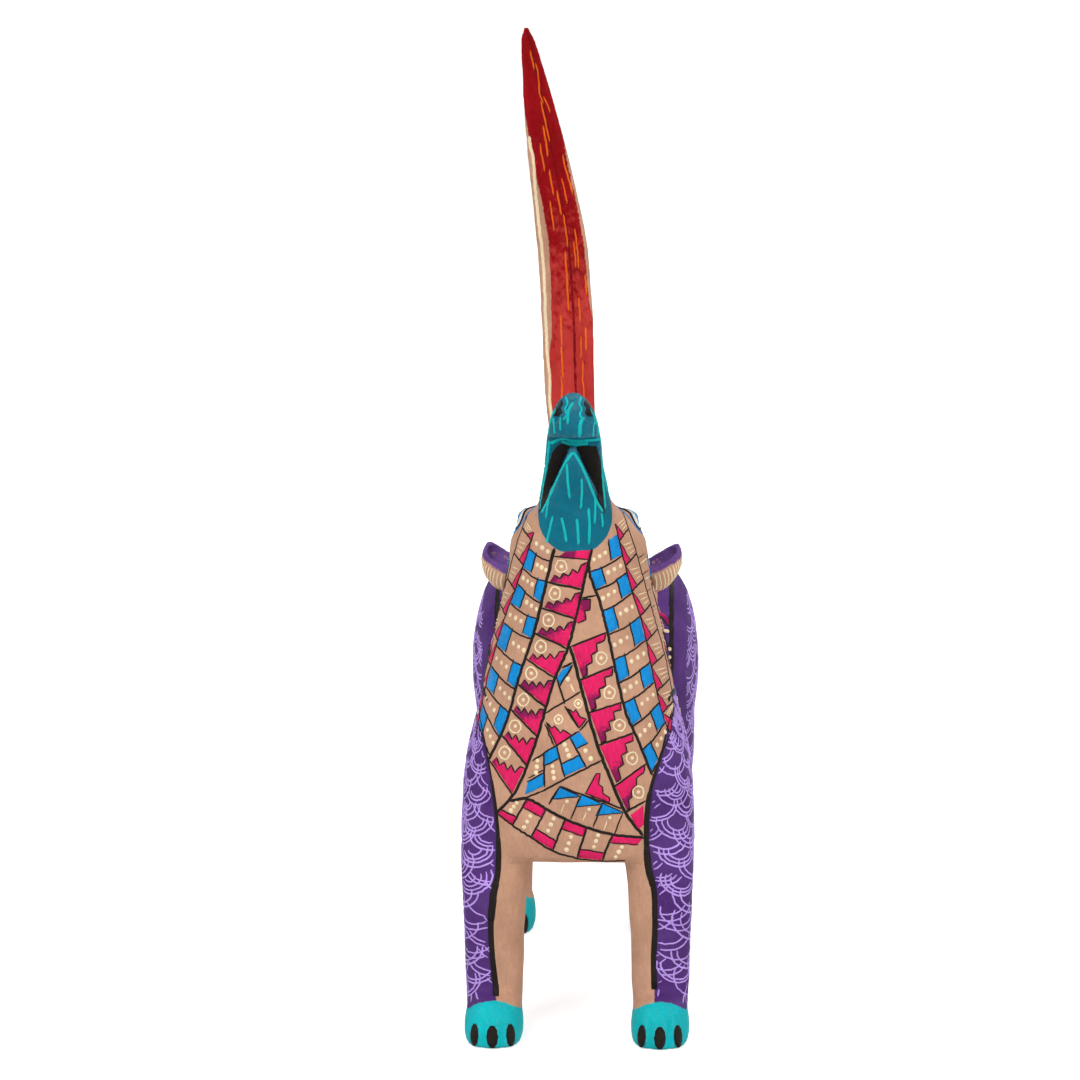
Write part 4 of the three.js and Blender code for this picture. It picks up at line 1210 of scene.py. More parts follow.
@dataclass
class BandPainter:
    """Paints the motifs of patterned bands, cell by cell, with fine lines of one width."""

    palette: Palette
    fine: float = 0.68

    def fret(self, cell: Cell, right: bool) -> None:
        """Paint a stepped fret with its ring."""
        p = self.palette
        outline = cell.path(STEPS_RIGHT if right else STEPS)
        bright, deep = cell.path(((0.1, 1.0), (0.3, 0.0)) if right else ((1.0, 0.0), (0.35, 0.75)))
        along_cell = (deep[0] - bright[0], deep[1] - bright[1])
        length = along_cell[0] ** 2 + along_cell[1] ** 2
        turn = p.hand.uniform(0.5, 0.85)
        def tone(u: float, v: float) -> float:
            share = ((u - bright[0]) * along_cell[0] + (v - bright[1]) * along_cell[1]) / length
            return 0.5 + 1.6 * (turn - share)
        p.pink.fill(p.canvas, outline, tone)
        p.line(p.black, outline[1 if right else 2:], self.fine, wobble=0.1, spacing=1.0)
        size = abs(cell.at(0, 0)[1] - cell.at(0, 1)[1])
        p.ring(cell.at(*((0.70, 0.36) if right else (0.30, 0.66))), min(1.75, 0.24 * size))

    def dots(self, cell: Cell, start: float, end: float, count: int = 3, upright: bool = False) -> None:
        """Paint a row of cream dots across part of a cell."""
        for k in range(count):
            share = start + (end - start) * (k + 0.5) / count
            self.palette.dot(cell.at(0.5, share) if upright else cell.at(share, 0.5))

    def block(self, cell: Cell, start: float, end: float, daub: Daub, upright: bool = False) -> None:
        """Fill part of a cell with colour and line its open side."""
        p = self.palette
        shares = ((start, 0.04), (end, 0.04), (end, 0.96), (start, 0.96))
        if upright:
            shares = tuple((t, s) for s, t in shares)
        outline = cell.path(shares)
        centre = cell.at(*((0.5, (start + end) / 2) if upright else ((start + end) / 2, 0.5)))
        reach = max(math.dist(centre, q) for q in outline)
        def tone(u: float, v: float) -> float:
            return 1.0 - 0.55 * (math.dist((u, v), centre) / reach) ** 2
        daub.fill(p.canvas, outline, tone)
        edge = start if start > 0.3 else end
        side = ((edge, 0.0), (edge, 1.0)) if not upright else ((0.0, edge), (1.0, edge))
        p.line(p.black, cell.path(side), self.fine)

    def triangles(self, cell: Cell) -> None:
        """Paint a slim pink triangle beside a hatched cream one."""
        p = self.palette
        p.pink.fill(p.canvas, cell.path(((0.03, 0.05), (0.40, 0.05), (0.05, 0.92))), lambda u, v: 0.8)
        p.line(p.black, cell.path(((0.46, 0.0), (0.02, 0.98))), self.fine * 0.8)
        for share in (0.15, 0.45, 0.75):
            ends = cell.path(((0.55 - 0.42 * share, 0.12 + 0.8 * share), (0.93, 0.12 + 0.5 * share)))
            p.line(p.cream, ends, 0.4, wobble=0.08, taper=0.3)

    def hatch(self, cell: Cell) -> None:
        """Paint cream strokes across a cell."""
        p = self.palette
        for share in (0.2, 0.45, 0.7, 0.9):
            p.line(p.cream, cell.path(((0.12, share - 0.1), (0.85, share))), 0.55, wobble=0.12)

    def paint(self, cell: Cell, motif: Motif) -> None:
        """Paint one motif in a cell."""
        p = self.palette
        if motif is Motif.FRET:
            self.fret(cell, False)
        elif motif is Motif.DOTS:
            self.dots(cell, 0.1, 0.9)
        elif motif is Motif.BLUE_DOTS:
            self.block(cell, 0.03, 0.34, p.blue)
            self.dots(cell, 0.40, 0.97)
        elif motif is Motif.DOTS_BLUE:
            self.block(cell, 0.66, 0.97, p.blue)
            self.dots(cell, 0.03, 0.60)
        elif motif is Motif.TRIANGLES:
            self.triangles(cell)
        elif motif is Motif.HATCH:
            self.hatch(cell)
        elif motif is Motif.PINK_DOTS:
            self.block(cell, 0.70, 0.97, p.pink, upright=True)
            self.dots(cell, 0.05, 0.66, upright=True)
        elif motif is Motif.DOTS_PINK:
            self.block(cell, 0.03, 0.30, p.pink, upright=True)
            self.dots(cell, 0.34, 0.95, upright=True)

    def band(self, near: Sequence[Point2], far: Sequence[Point2], shares: Sequence[tuple[float, float]],
             motifs: Sequence[Motif], sag: float = 0.0) -> None:
        """Paint a band of cells between two rails.

        Args:
            near: Rail at share 0 across each cell.
            far: Rail at share 1.
            shares: Shares along the near and the far rail where each cell boundary starts and ends.
            motifs: What the cells hold, repeated in turn.
            sag: How far the middle of a boundary hangs below its ends, in millimetres.
        """
        p = self.palette
        for i, ((a0, b0), (a1, b1)) in enumerate(zip(shares, shares[1:])):
            cell = Cell((along(near, a1), along(far, b1), along(far, b0), along(near, a0)))
            self.paint(cell, motifs[i % len(motifs)])
            start, end = along(near, a1), along(far, b1)
            middle_point = ((start[0] + end[0]) / 2, (start[1] + end[1]) / 2 - sag)
            p.curve(p.black, (start, middle_point, end), self.fine)


def even(count: int, near: Point2 = (0.0, 1.0), far: Point2 = (0.0, 1.0)) -> list[tuple[float, float]]:
    """Return boundaries for a number of equal cells between shares of both rails."""
    return [(near[0] + (near[1] - near[0]) * k / count, far[0] + (far[1] - far[0]) * k / count)
            for k in range(count + 1)]


class ChestPattern:
    """The patterned bib from throat to legs, laid out on the plane of the chest."""

    LEFT_RAIL = ((-6.8, 161), (-9.2, 151), (-12.8, 135.5), (-17.7, 120.6), (-22.1, 105), (-27.6, 93))
    CENTRE_LEFT = ((4.6, 160.3), (1.9, 148.4), (-2.2, 130.6), (-7.0, 118.7), (-12.4, 100), (-18.5, 84),
                   (-25, 75.8))
    RIGHT_RAIL = ((4.9, 161), (3.9, 154), (7.8, 142.5), (10.9, 128.6), (15.0, 110), (19.2, 100), (23.8, 88.4))
    CENTRE_RIGHT = ((-1.9, 129.6), (1.5, 116.7), (5.1, 103), (8.5, 92.7), (14.8, 77.3), (20.8, 68.8))
    OUTER_LEFT = ((-13.2, 166), (-18.2, 150), (-22.4, 138.5), (-26.6, 124), (-29.4, 112), (-31.2, 102))
    OUTER_RIGHT = ((12.0, 169), (17.0, 148.4), (20.6, 137), (23.6, 122), (27.0, 108), (29.4, 102))
    FAR_LEFT = ((-14.9, 172.5), (-18.6, 162), (-21.8, 150), (-25.4, 138), (-28.6, 126), (-31.0, 113))
    FAR_RIGHT = ((13.4, 175.5), (17.6, 163), (21.0, 151), (24.6, 138), (27.8, 126), (30.4, 112))
    LEFT_ROWS = ((166, 163), (161.2, 156.8), (154.7, 150.4), (149.8, 143.4), (143.4, 138.5), (137.4, 132.0),
                 (129.9, 123.4), (123.4, 115.8), (116.9, 108.3), (111.5, 100.2), (105.0, 94.2))
    RIGHT_ROWS = ((160.1, 166), (153.6, 159), (147.7, 153.6), (141.2, 147.1), (133.6, 139.6), (125.5, 132),
                  (118, 125), (111.5, 118.5), (104, 112.1), (96.4, 105.6), (89, 102))
    BAND_TOP = ((-20.8, 79.8), (-15.5, 80.5), (-9.4, 77.2), (-3.6, 74), (3.2, 71.3), (11.4, 69), (21.3, 68))
    BAND_BOTTOM = ((-25, 75.8), (-20.1, 71.8), (-14.3, 67.9), (-7.5, 63.6), (0.2, 61.2), (8, 60.4),
                   (15.4, 60.6))
    # Heights at which the right column's fret cells meet its two rails, and where they end at the foot.
    RIGHT_FRETS = ((130.3, 134.5), (118.9, 123.6), (108.4, 112), (97.9, 102.1), (84.5, 92.4), (76.3, 80))
    RIGHT_FOOT = (21.6, 80)
    FAR_ROWS = (172, 165, 157, 149, 141, 133, 125, 117, 110, 103)
    THROAT_FRET = ((0.16, 0.02), (0.97, 0.02), (0.97, 0.9), (0.3, 0.7))
    # The odd-shaped cells between the two fret columns.
    THROAT_BLOB = ((0.9, 144.6), (4.4, 144.9), (4.2, 141.5), (2.6, 141.3), (2.9, 138.4), (0.6, 137.3),
                   (-1.0, 138.0))
    BLUE_CHIP = ((-6.1, 119.6), (-4.4, 122.3), (-1.5, 123.9), (-5.0, 117.4))
    PARTINGS = (((-4.6, 122.8), (-1.1, 124.6)), ((-1.3, 123.8), (-5.1, 117.2)),
                ((-6.2, 119.8), (-3.6, 111.2)), ((1.5, 115.4), (-9.6, 108.3)),
                ((-3.7, 110.6), (0.8, 103.4)), ((-9.9, 104.8), (-7, 97.8)),
                ((-13.8, 92.9), (0.9, 102.6)), ((0.9, 102.6), (3.9, 106.2)),
                ((-16, 80.8), (-11.2, 82.8)), ((-11.2, 82.8), (7.9, 93.2)))
    SMALL_FRETS = (((-9.4, 105.4), (-7.6, 103.4), (-6.9, 104.2), (-5.0, 101.9), (-4.2, 102.9), (-1.6, 101.2),
                    (-5.2, 98.4), (-6.3, 98.0)),
                   ((-2.6, 109.8), (-1.0, 108.6), (-0.2, 109.4), (1.2, 107.0), (3.1, 106.4), (0.8, 103.6)),
                   ((7.4, 88.9), (6.2, 88.7), (2.9, 82.4), (10.4, 79.4), (10.4, 80.9), (8.3, 82.4),
                    (8.2, 84.4), (7.0, 85.2)))
    BLUE_TIPS = ((-5.3, 84.4), (1.7, 81.9), (8.2, 79.2))
    CORNER_CHIP = ((17.0, 75.4), (21.0, 78.6), (21.2, 72.4), (19.2, 70.6))
    # The slanted block of dotted and blue cells, and the shares at which its columns part.
    BLOCK = Cell(((-16.4, 81.4), (7.9, 93.3), (0.9, 102.6), (-14.0, 93.0)))
    COLUMNS = (0.0, 0.26, 0.52, 0.80, 1.0)

    def __init__(self, canvas: Canvas) -> None:
        """Take the canvas in front of the chest."""
        self.palette = Palette("chest", canvas, seed=11)
        self.painter = BandPainter(self.palette)

    def paint(self) -> None:
        """Paint columns, infill and hem, then the long rails over them."""
        self._frets()
        self._rows()
        self._infill()
        self._hem()
        p = self.palette
        inner = (self.LEFT_RAIL, self.CENTRE_LEFT, self.RIGHT_RAIL, self.CENTRE_RIGHT)
        outer, far = (self.OUTER_LEFT, self.OUTER_RIGHT), (self.FAR_LEFT, self.FAR_RIGHT)
        for rails, width in ((inner, 1.2), (outer, 0.7), (far, 0.55)):
            for rail in rails:
                p.curve(p.black, rail, width)
        for rail, sign in ((self.FAR_LEFT, -1), (self.FAR_RIGHT, 1)):
            for k in range(9):
                u, v = at_height(rail, 158 - 5.2 * k)
                p.line(p.black, ((u, v), (u + 4.0 * sign, v + 3.0)), 0.5)
                p.line(p.cream, ((u + 0.6 * sign, v - 1.6), (u + 3.8 * sign, v + 0.8)), 0.5, taper=0.3)
        p.curve(p.black, self.BAND_TOP, 1.15)
        p.curve(p.black, self.BAND_BOTTOM, 0.9)
        p.finish()

    def _frets(self) -> None:
        """Paint the two stepped columns."""
        left = [(at_height(self.LEFT_RAIL, 158.5 - 8.15 * k), at_height(self.CENTRE_LEFT, 157.5 - 9.5 * k))
                for k in range(9)]
        p = self.palette
        for upper, lower in zip(left, left[1:]):
            self.painter.fret(Cell((*lower, *upper[::-1])), False)
            p.line(p.black, lower, 0.8)
        top = Cell((*left[0], (4.8, 160.9), (-6.4, 160.9)))
        p.pink.fill(p.canvas, top.path(self.THROAT_FRET), lambda u, v: 0.9 if u > -0.5 else 0.1)
        p.line(p.black, left[0], 0.62)
        right = [(at_height(self.CENTRE_RIGHT, a), at_height(self.RIGHT_RAIL, b))
                 for a, b in self.RIGHT_FRETS]
        right[-1] = (right[-1][0], self.RIGHT_FOOT)
        for upper, lower in zip(right, right[1:]):
            self.painter.fret(Cell((*lower, *upper[::-1])), True)
        for pair in right:
            p.line(p.black, pair, 0.8)

    def _rows(self) -> None:
        """Paint the blue and dotted rows beside the frets and the slim triangles beyond them."""
        turns = (Motif.BLUE_DOTS, Motif.DOTS_BLUE)
        self._band(self.OUTER_LEFT, self.LEFT_RAIL, self.LEFT_ROWS, (Motif.DOTS, *turns * 5), 0.9)
        self._band(self.RIGHT_RAIL, self.OUTER_RIGHT, self.RIGHT_ROWS, turns[::-1] * 5, 0.8)
        for rail, far in ((self.OUTER_LEFT, self.FAR_LEFT), (self.OUTER_RIGHT, self.FAR_RIGHT)):
            self._band(rail, far, [(v - 1.5, v + 2.5) for v in self.FAR_ROWS], (Motif.TRIANGLES,) * 9, 0.0)

    def _band(self, near: Sequence[Point2], far: Sequence[Point2], heights: Sequence[Point2],
              motifs: Sequence[Motif], sag: float) -> None:
        """Paint a band whose cells start and end at pairs of heights on its two rails."""
        shares = [(share_at(near, a), share_at(far, b)) for a, b in heights]
        self.painter.band(near, far, shares, motifs, sag)

    def _infill(self) -> None:
        """Paint the odd-shaped cells between the two fret columns."""
        p = self.palette
        black, cream = p.black, p.cream
        p.pink.fill(p.canvas, self.THROAT_BLOB, lambda u, v: 1.0 - 0.28 * abs(u + 0.35 * (v - 141)))
        p.line(black, self.THROAT_BLOB[:6], 0.62, wobble=0.08)
        p.line(black, ((1.4, 145.2), (6.2, 146.2)), 0.75)
        p.blue.fill(p.canvas, self.BLUE_CHIP, lambda u, v: 0.9)
        for line in self.PARTINGS:
            p.line(black, line, 0.75)
        p.dot((-2.7, 119.3))
        p.line(cream, ((-1.9, 117.6), (-0.5, 115)), 0.7)
        p.ring((0.6, 111.4), 1.2)
        p.ring((-5.6, 106.3), 1.25)
        for outline in self.SMALL_FRETS:
            p.pink.fill(p.canvas, outline, lambda u, v: 0.75)
            p.line(black, outline, 0.62, closed=True, wobble=0.06)
        self._dot_block()
        p.line(black, ((-5.4, 84.6), (14.3, 77.5)), 0.7)
        for x, y in self.BLUE_TIPS:
            outline = ((x, y), (x - 2.0, y - 3.9), (x + 6.6, y - 3.0))
            p.blue.fill(p.canvas, outline, lambda u, v: 0.85)
            p.line(black, outline, 0.5, closed=True, wobble=0.06)
            p.dot((x + 2.3, y - 4.7), 0.65)
            p.line(cream, ((x + 1.5, y - 5.6), (x + 0.3, y - 8.8)), 0.5)
            p.line(black, ((x + 6.4, y - 3.2), (x + 3.6, y - 10.4)), 0.6)
        p.line(black, ((-5.3, 84.4), (-8.7, 78.8)), 0.7)
        p.pink.fill(p.canvas, self.CORNER_CHIP, lambda u, v: 0.9)

    def _dot_block(self) -> None:
        """Paint the slanted block of dotted and blue cells."""
        block = self.BLOCK
        p = self.palette
        for i, (s0, s1) in enumerate(zip(self.COLUMNS, self.COLUMNS[1:])):
            cell = Cell(tuple(block.path(((s0, 0), (s1, 0), (s1, 1), (s0, 1)))))
            blue_low = i % 2 == 0
            share = (0.03, 0.40) if blue_low else (0.60, 0.97)
            self.painter.block(cell, *share, p.blue, upright=True)
            rest = (0.44, 0.97) if blue_low else (0.03, 0.56)
            self.painter.dots(cell, *rest, count=2 if i == 3 else 3, upright=True)
            if i:
                p.line(p.black, block.path(((s0, 0), (s0, 1))), 0.75)
        p.line(p.black, block.path(((0.0, 0.5), (self.COLUMNS[1], 0.5))), 0.5)

    def _hem(self) -> None:
        """Paint the curved hem over the arch of the legs."""
        p = self.palette
        for i in range(6):
            s0, s1 = i / 6, (i + 1) / 6
            start, end = along(self.BAND_BOTTOM, s0), along(self.BAND_TOP, s0)
            cell = Cell((start, along(self.BAND_BOTTOM, s1), along(self.BAND_TOP, s1), end))
            self.painter.paint(cell, (Motif.DOTS_PINK, Motif.PINK_DOTS)[i % 2])
            if i:
                p.line(p.black, (start, end), 0.8)


@dataclass
class ScalePattern:
    """Rows of overlapping lilac arcs, each with smaller arcs inside it."""

    palette: Palette
    width: float = 11.0
    line: float = 0.66
    SHARES: ClassVar[tuple[float, ...]] = (1.0, 0.76, 0.53, 0.3)
    SHANK_TOP: ClassVar[float] = 52

    def scale(self, centre: Point2, size: float, tilt: float) -> None:
        """Draw one scale of nested arcs that hang from its centre."""
        hand = self.palette.hand
        low = centre[1] < self.SHANK_TOP
        for share in self.SHARES[: hand.choice((1, 2, 2) if low else (2, 3, 3, 4))]:
            turn = [math.pi + math.pi * (0.02 + 0.96 * k / 9) for k in range(10)]
            radius = size * share * hand.uniform(0.94, 1.06) * (1.25 if low else 1.0)
            arc = []
            for a in turn:
                u, v = radius * math.cos(a), radius * 0.82 * math.sin(a)
                arc.append((centre[0] + u * math.cos(tilt) - v * math.sin(tilt),
                            centre[1] + u * math.sin(tilt) + v * math.cos(tilt)))
            self.palette.line(self.palette.lilac, arc, self.line, wobble=0.1, spacing=1.5, taper=0.6,
                              height=Daub.COAT_HEIGHT)

    def rows(self, u_range: Point2, v_range: Point2, inside: Callable[[float, float], bool],
             tilt: float = 0.0) -> None:
        """Fill an area with staggered rows of scales.

        Args:
            u_range: Least and greatest u.
            v_range: Least and greatest v.
            inside: Says whether a scale may be centred on a drawing point.
            tilt: How far each scale leans, in radians.
        """
        hand = self.palette.hand
        step = self.width * 0.44
        row = 0
        v = v_range[1]
        while v > v_range[0]:
            u = u_range[0] + (self.width / 2 if row % 2 else 0.0)
            while u < u_range[1]:
                spot = (u + hand.uniform(-0.8, 0.8), v + hand.uniform(-0.8, 0.8))
                if inside(*spot):
                    size = self.width * 0.6 * hand.uniform(0.9, 1.12)
                    self.scale(spot, size, tilt + hand.uniform(-0.3, 0.3))
                u += self.width
            v -= step
            row += 1


@dataclass
class Sleeves:
    """Black borders and lilac scales of the four legs, and the claws."""

    tree: BVHTree
    # Width of the front border along its run: it swells from the shoulder down to the paw.
    BORDER_RUNS: ClassVar = ((0, 14, 0.9), (12, 24, 1.5), (22, 36, 2.1), (34, 45, 2.6), (43, 65, 2.1))
    BORDER_STEPS: ClassVar[int] = 64
    SCALE_FOOT: ClassVar[float] = 14
    HAUNCH_STEP: ClassVar[float] = 18
    CLAW_SPREAD: ClassVar[float] = 5.9 * MM
    CLAW_HEIGHT: ClassVar[float] = 4.2 * MM

    def paint(self) -> None:
        """Paint every leg."""
        for side, sign in SIDES.items():
            self._front(side, sign)
            self._front_border(side, sign)
            self._haunch(side, sign)
            self._claws(side, sign)

    def _front(self, side: str, sign: float) -> None:
        """Roll scales round a front leg, wherever it is purple."""
        axis = Vector((sign * (LAP_FACE + 1 * MM), SHOULDER_Y - 3 * MM, 0))
        def purple(place: Vector, normal: Vector) -> bool:
            zone = sleeve_zone(np.array([place]), f"front_leg_{side}")[0]
            return zone > 0.7 * MM and paw_zone(np.array([place]))[0] < -0.5 * MM
        canvas = round_canvas(self.tree, axis, 13.0, sign)
        canvas.allowed = purple
        palette = Palette(f"front_sleeve_{side}", canvas, seed=21)
        ScalePattern(palette).rows((-4, 42), (self.SCALE_FOOT, SHOULDER_TOP / MM), lambda u, v: True, -0.35)
        palette.finish()

    def _front_border(self, side: str, sign: float) -> None:
        """Draw the black line down the front of a leg, round the shoulder and down the back."""
        palette = Palette(f"front_border_{side}", side_canvas(self.tree, sign), seed=31)
        edge = SLEEVE_EDGE[side]
        spots = []
        for k in range(self.BORDER_STEPS + 1):
            x, z = along(edge, k / self.BORDER_STEPS)
            place, normal, _, _ = self.tree.ray_cast(Vector((x * MM, -0.2, z * MM)), Vector((0, 1, 0)))
            if place is not None and paw_zone(np.array([place]))[0] < 0.4 * MM:
                spots.append((place, normal))
        for first, last, width in self.BORDER_RUNS:
            palette.black.ribbon(spots[first:last], width, taper=0.85)
        rise = SHOULDER_TOP - SHOULDER_SPRING - 1.0 * MM
        reach = SHOULDER_REACH - 1.0 * MM
        turn = [math.pi * (0.02 + 0.59 * k / 26) for k in range(27)]
        arch = [((SHOULDER_Y + reach * math.cos(a)) / MM, (SHOULDER_SPRING + rise * math.sin(a)) / MM)
                for a in turn]
        palette.line(palette.black, [(arch[0][0] - 0.3, CHEST_BOTTOM / MM + 4)] + arch, 1.5, wobble=0.1)
        palette.black.ribbon(self._back_line(sign, FRONT_SOLE.y, (15, CHEST_BOTTOM / MM - 2), 1), 2.1)
        palette.finish()

    def _back_line(self, sign: float, y: float, heights: Point2, way: int) -> list[tuple[Vector, Vector]]:
        """Return spots down a leg's front (way -1) or back (way 1) at the edge of its purple side."""
        spots = []
        steps = int((heights[1] - heights[0]) / 1.5)
        for k in range(steps + 1):
            z = (heights[0] + (heights[1] - heights[0]) * k / steps) * MM
            start = Vector((sign * (LAP_FACE + 0.6 * MM), y + way * 0.07, z))
            place, normal, _, _ = self.tree.ray_cast(start, Vector((0, -way, 0)))
            if place is not None and (not spots or (place - spots[-1][0]).length < 4 * MM):
                spots.append((place, normal))
        return spots

    def _haunch(self, side: str, sign: float) -> None:
        """Paint a haunch and the outer side of its shank."""
        centre = (HAUNCH.y / MM, HAUNCH.z / MM)
        reach = HAUNCH_RADIUS / MM
        def purple(place: Vector, normal: Vector) -> bool:
            if abs(place.x) < LAP_FACE + 1.6 * MM or paw_zone(np.array([place]))[0] > -0.5 * MM:
                return False
            y, z = place.y / MM, place.z / MM
            round_part = z > centre[1] - self.HAUNCH_STEP
            if round_part and abs(normal.x) < 0.93:
                return False
            return math.dist((y, z), centre) < reach - 7.0 or (z < centre[1] - self.HAUNCH_STEP and z < 75)
        canvas = side_canvas(self.tree, sign)
        canvas.allowed = purple
        palette = Palette(f"haunch_{side}", canvas, seed=41)
        ScalePattern(palette, 12.0).rows((centre[0] - reach, centre[0] + reach),
                                         (self.SCALE_FOOT, centre[1] + reach + 3), lambda u, v: True)
        border = Palette(f"haunch_border_{side}", side_canvas(self.tree, sign), seed=42)
        turn = [math.radians(-42) + math.radians(268) * k / 70 for k in range(71)]
        inset = reach - 1.1
        ring = [(centre[0] + inset * math.cos(a), centre[1] + inset * math.sin(a)) for a in turn]
        border.line(border.black, ring, 2.0, wobble=0.1)
        border.black.ribbon(self._back_line(sign, HIND_SOLE.y, (15, 60), -1), 2.0)
        border.black.ribbon(self._back_line(sign, HIND_SOLE.y, (15, 62), 1), 2.0)
        border.finish()
        palette.finish()

    def _claws(self, side: str, sign: float) -> None:
        """Paint three black claws on each paw."""
        daub = Daub(LINE_BLACK)
        for end in (FRONT_SOLE, HIND_SOLE):
            for toe in (-1, 0, 1):
                start = Vector((sign * end.x + toe * self.CLAW_SPREAD, end.y - 0.05, self.CLAW_HEIGHT))
                place, normal, _, _ = self.tree.ray_cast(start, Vector((0, 1, 0)))
                if place is not None:
                    daub.dot((place, normal), 1.9, 0.35, 2.0)
        daub.piece(f"claws_{side}")


class Muzzle:
    """Black mouth, nostrils and eyes, and the light strokes of the teal muzzle."""

    JAW_EDGES = (((-0.9, 191.6), (-3.9, 187.4), (-6.6, 181.5), (-9.0, 176), (-10.8, 172.4)),
                 ((-0.9, 191.6), (1.6, 187.4), (4.1, 181.5), (6.3, 176), (8.2, 172.9)))
    MOUTH = (((-0.9, 193.6), (-3.8, 194.6), (-6.0, 193.4), (-7.5, 191.3), (-8.7, 186.9), (-9.8, 181.7),
              (-11.0, 176.1), (-11.6, 172.2), (-8.0, 178.0), (-4.5, 186.0), (-1.5, 191.5)),
             ((0.2, 193.6), (6.3, 193.4), (7.4, 189.1), (7.9, 183.2), (8.4, 176.9), (8.8, 172.2),
              (5.6, 178.7), (2.6, 185.4), (0.2, 191.0)))
    STROKES = (((-2.9, 187.9), (-2.7, 182.4), (-2.0, 176.8)), ((1.6, 183.2), (1.7, 179), (1.4, 173.5)),
               ((-6.2, 182.0), (-8.2, 178.3), (-9.5, 170.5)), ((5.8, 177.2), (5.9, 173), (5.6, 169.0)),
               ((-7.3, 171.3), (-8.2, 167.5), (-9.3, 162.7)), ((-4.6, 170.9), (-3.8, 167.6), (-3.1, 163.1)),
               ((0.2, 170.5), (0.5, 166), (0.7, 162.3)), ((3.8, 173.9), (4.1, 168), (4.0, 162.3)),
               ((7.8, 172.4), (8.1, 170), (8.2, 167.9)),
               ((-0.9, 207.1), (-2.4, 204.7), (-2.7, 200.3)), ((5.6, 201.0), (5.3, 199), (5.2, 196.5)),
               ((-4.9, 202.5), (-5, 200.5), (-4.9, 198.4)), ((-7.1, 202.1), (-6.9, 200), (-6.7, 197.3)))
    WIDE = (((2.3, 202.5), (1.3, 200.3), (0.9, 195.8)),
            ((-8.0, 194.2), (-4.1, 195.7), (-0.9, 195.0), (3.2, 195.2), (7.1, 195.6)),
            ((-4.6, 194.9), (-0.9, 193.9), (3.6, 194.4)))
    SIDES = (((-8.3, 195.1), (-9.3, 186.1), (-10.6, 178), (-11.2, 173.6)),
             ((7.6, 194.3), (8.0, 186), (8.6, 178), (8.9, 173.8)))
    # A nostril and the light stroke inside it, to one side of the nose's middle.
    NOSE_MIDDLE = -0.9
    NOSTRIL = ((3.4, 207.8), (3.2, 206.4), (4.0, 205.4), (3.4, 203.8), (4.6, 202.7), (6.6, 202.7),
               (7.4, 203.8), (6.4, 206.0), (5.0, 207.6))
    NOSTRIL_STROKE = ((2.0, 208.8), (1.5, 206.8), (2.2, 205.0), (1.7, 203.3), (2.8, 201.7))
    CHEEK_STROKES = 26
    EYE_CENTRE = (-52.0, 165.2)

    def __init__(self, tree: BVHTree, eye: Vector) -> None:
        """Take the skin's faces and the place that the front is drawn from."""
        self.tree = tree
        self.front = Palette("muzzle", front_canvas(tree, eye), seed=51)

    def paint(self) -> None:
        """Paint the mouth, the strokes, the nostrils and both eyes."""
        p = self.front
        inside = Palette("mouth", Canvas(self.tree, p.canvas.ray, 0.0, self._behind_jaw), seed=52)
        for outline in self.MOUTH:
            inside.black.fill(inside.canvas, outline, lambda u, v: 0.5, 0.5)
        inside.finish()
        for stroke in self.STROKES:
            p.curve(p.teal, stroke, 0.95, wobble=0.05, taper=0.35)
        for stroke in self.WIDE:
            p.curve(p.teal, stroke, 1.45, wobble=0.06, taper=0.7)
        for stroke in self.JAW_EDGES + self.SIDES:
            p.curve(p.teal, stroke, 0.95, wobble=0.05)
        for side, sign in SIDES.items():
            self._nostril(sign)
            self._cheek_strokes(side, sign)
            self._eye(side, sign)
        p.finish()

    def _behind_jaw(self, place: Vector, normal: Vector) -> bool:
        """Say whether a place lies on the palate, behind the lower jaw."""
        share = (place.z / MM - 171) / 22
        return place.y / MM + 8.6 * share > -75.2

    def _nostril(self, sign: float) -> None:
        """Paint one black nostril, a hook at the side of the nose."""
        p = self.front
        centre = self.NOSE_MIDDLE
        p.black.fill(p.canvas, [(centre + sign * u, v) for u, v in self.NOSTRIL], lambda u, v: 0.6, 0.8)
        stroke = [(centre + sign * (u + 0.35), v) for u, v in self.NOSTRIL_STROKE]
        p.curve(p.teal, stroke, 0.8, wobble=0.04)

    def _cheek_strokes(self, side: str, sign: float) -> None:
        """Paint light strokes along one side of the muzzle."""
        p = Palette(f"muzzle_side_{side}", side_canvas(self.tree, sign), seed=61)
        for k in range(self.CHEEK_STROKES):
            share = (k + p.hand.uniform(0.0, 1.0)) / self.CHEEK_STROKES
            v = 178 + 28 * share
            u = -64 - 15 * share + p.hand.uniform(-6, 8) * (1 - 0.4 * share)
            length = p.hand.uniform(3.5, 6.5)
            p.line(p.teal, ((u, v), (u + 0.25 * length, v - length)), 0.85, wobble=0.05, taper=0.3)
        p.finish()

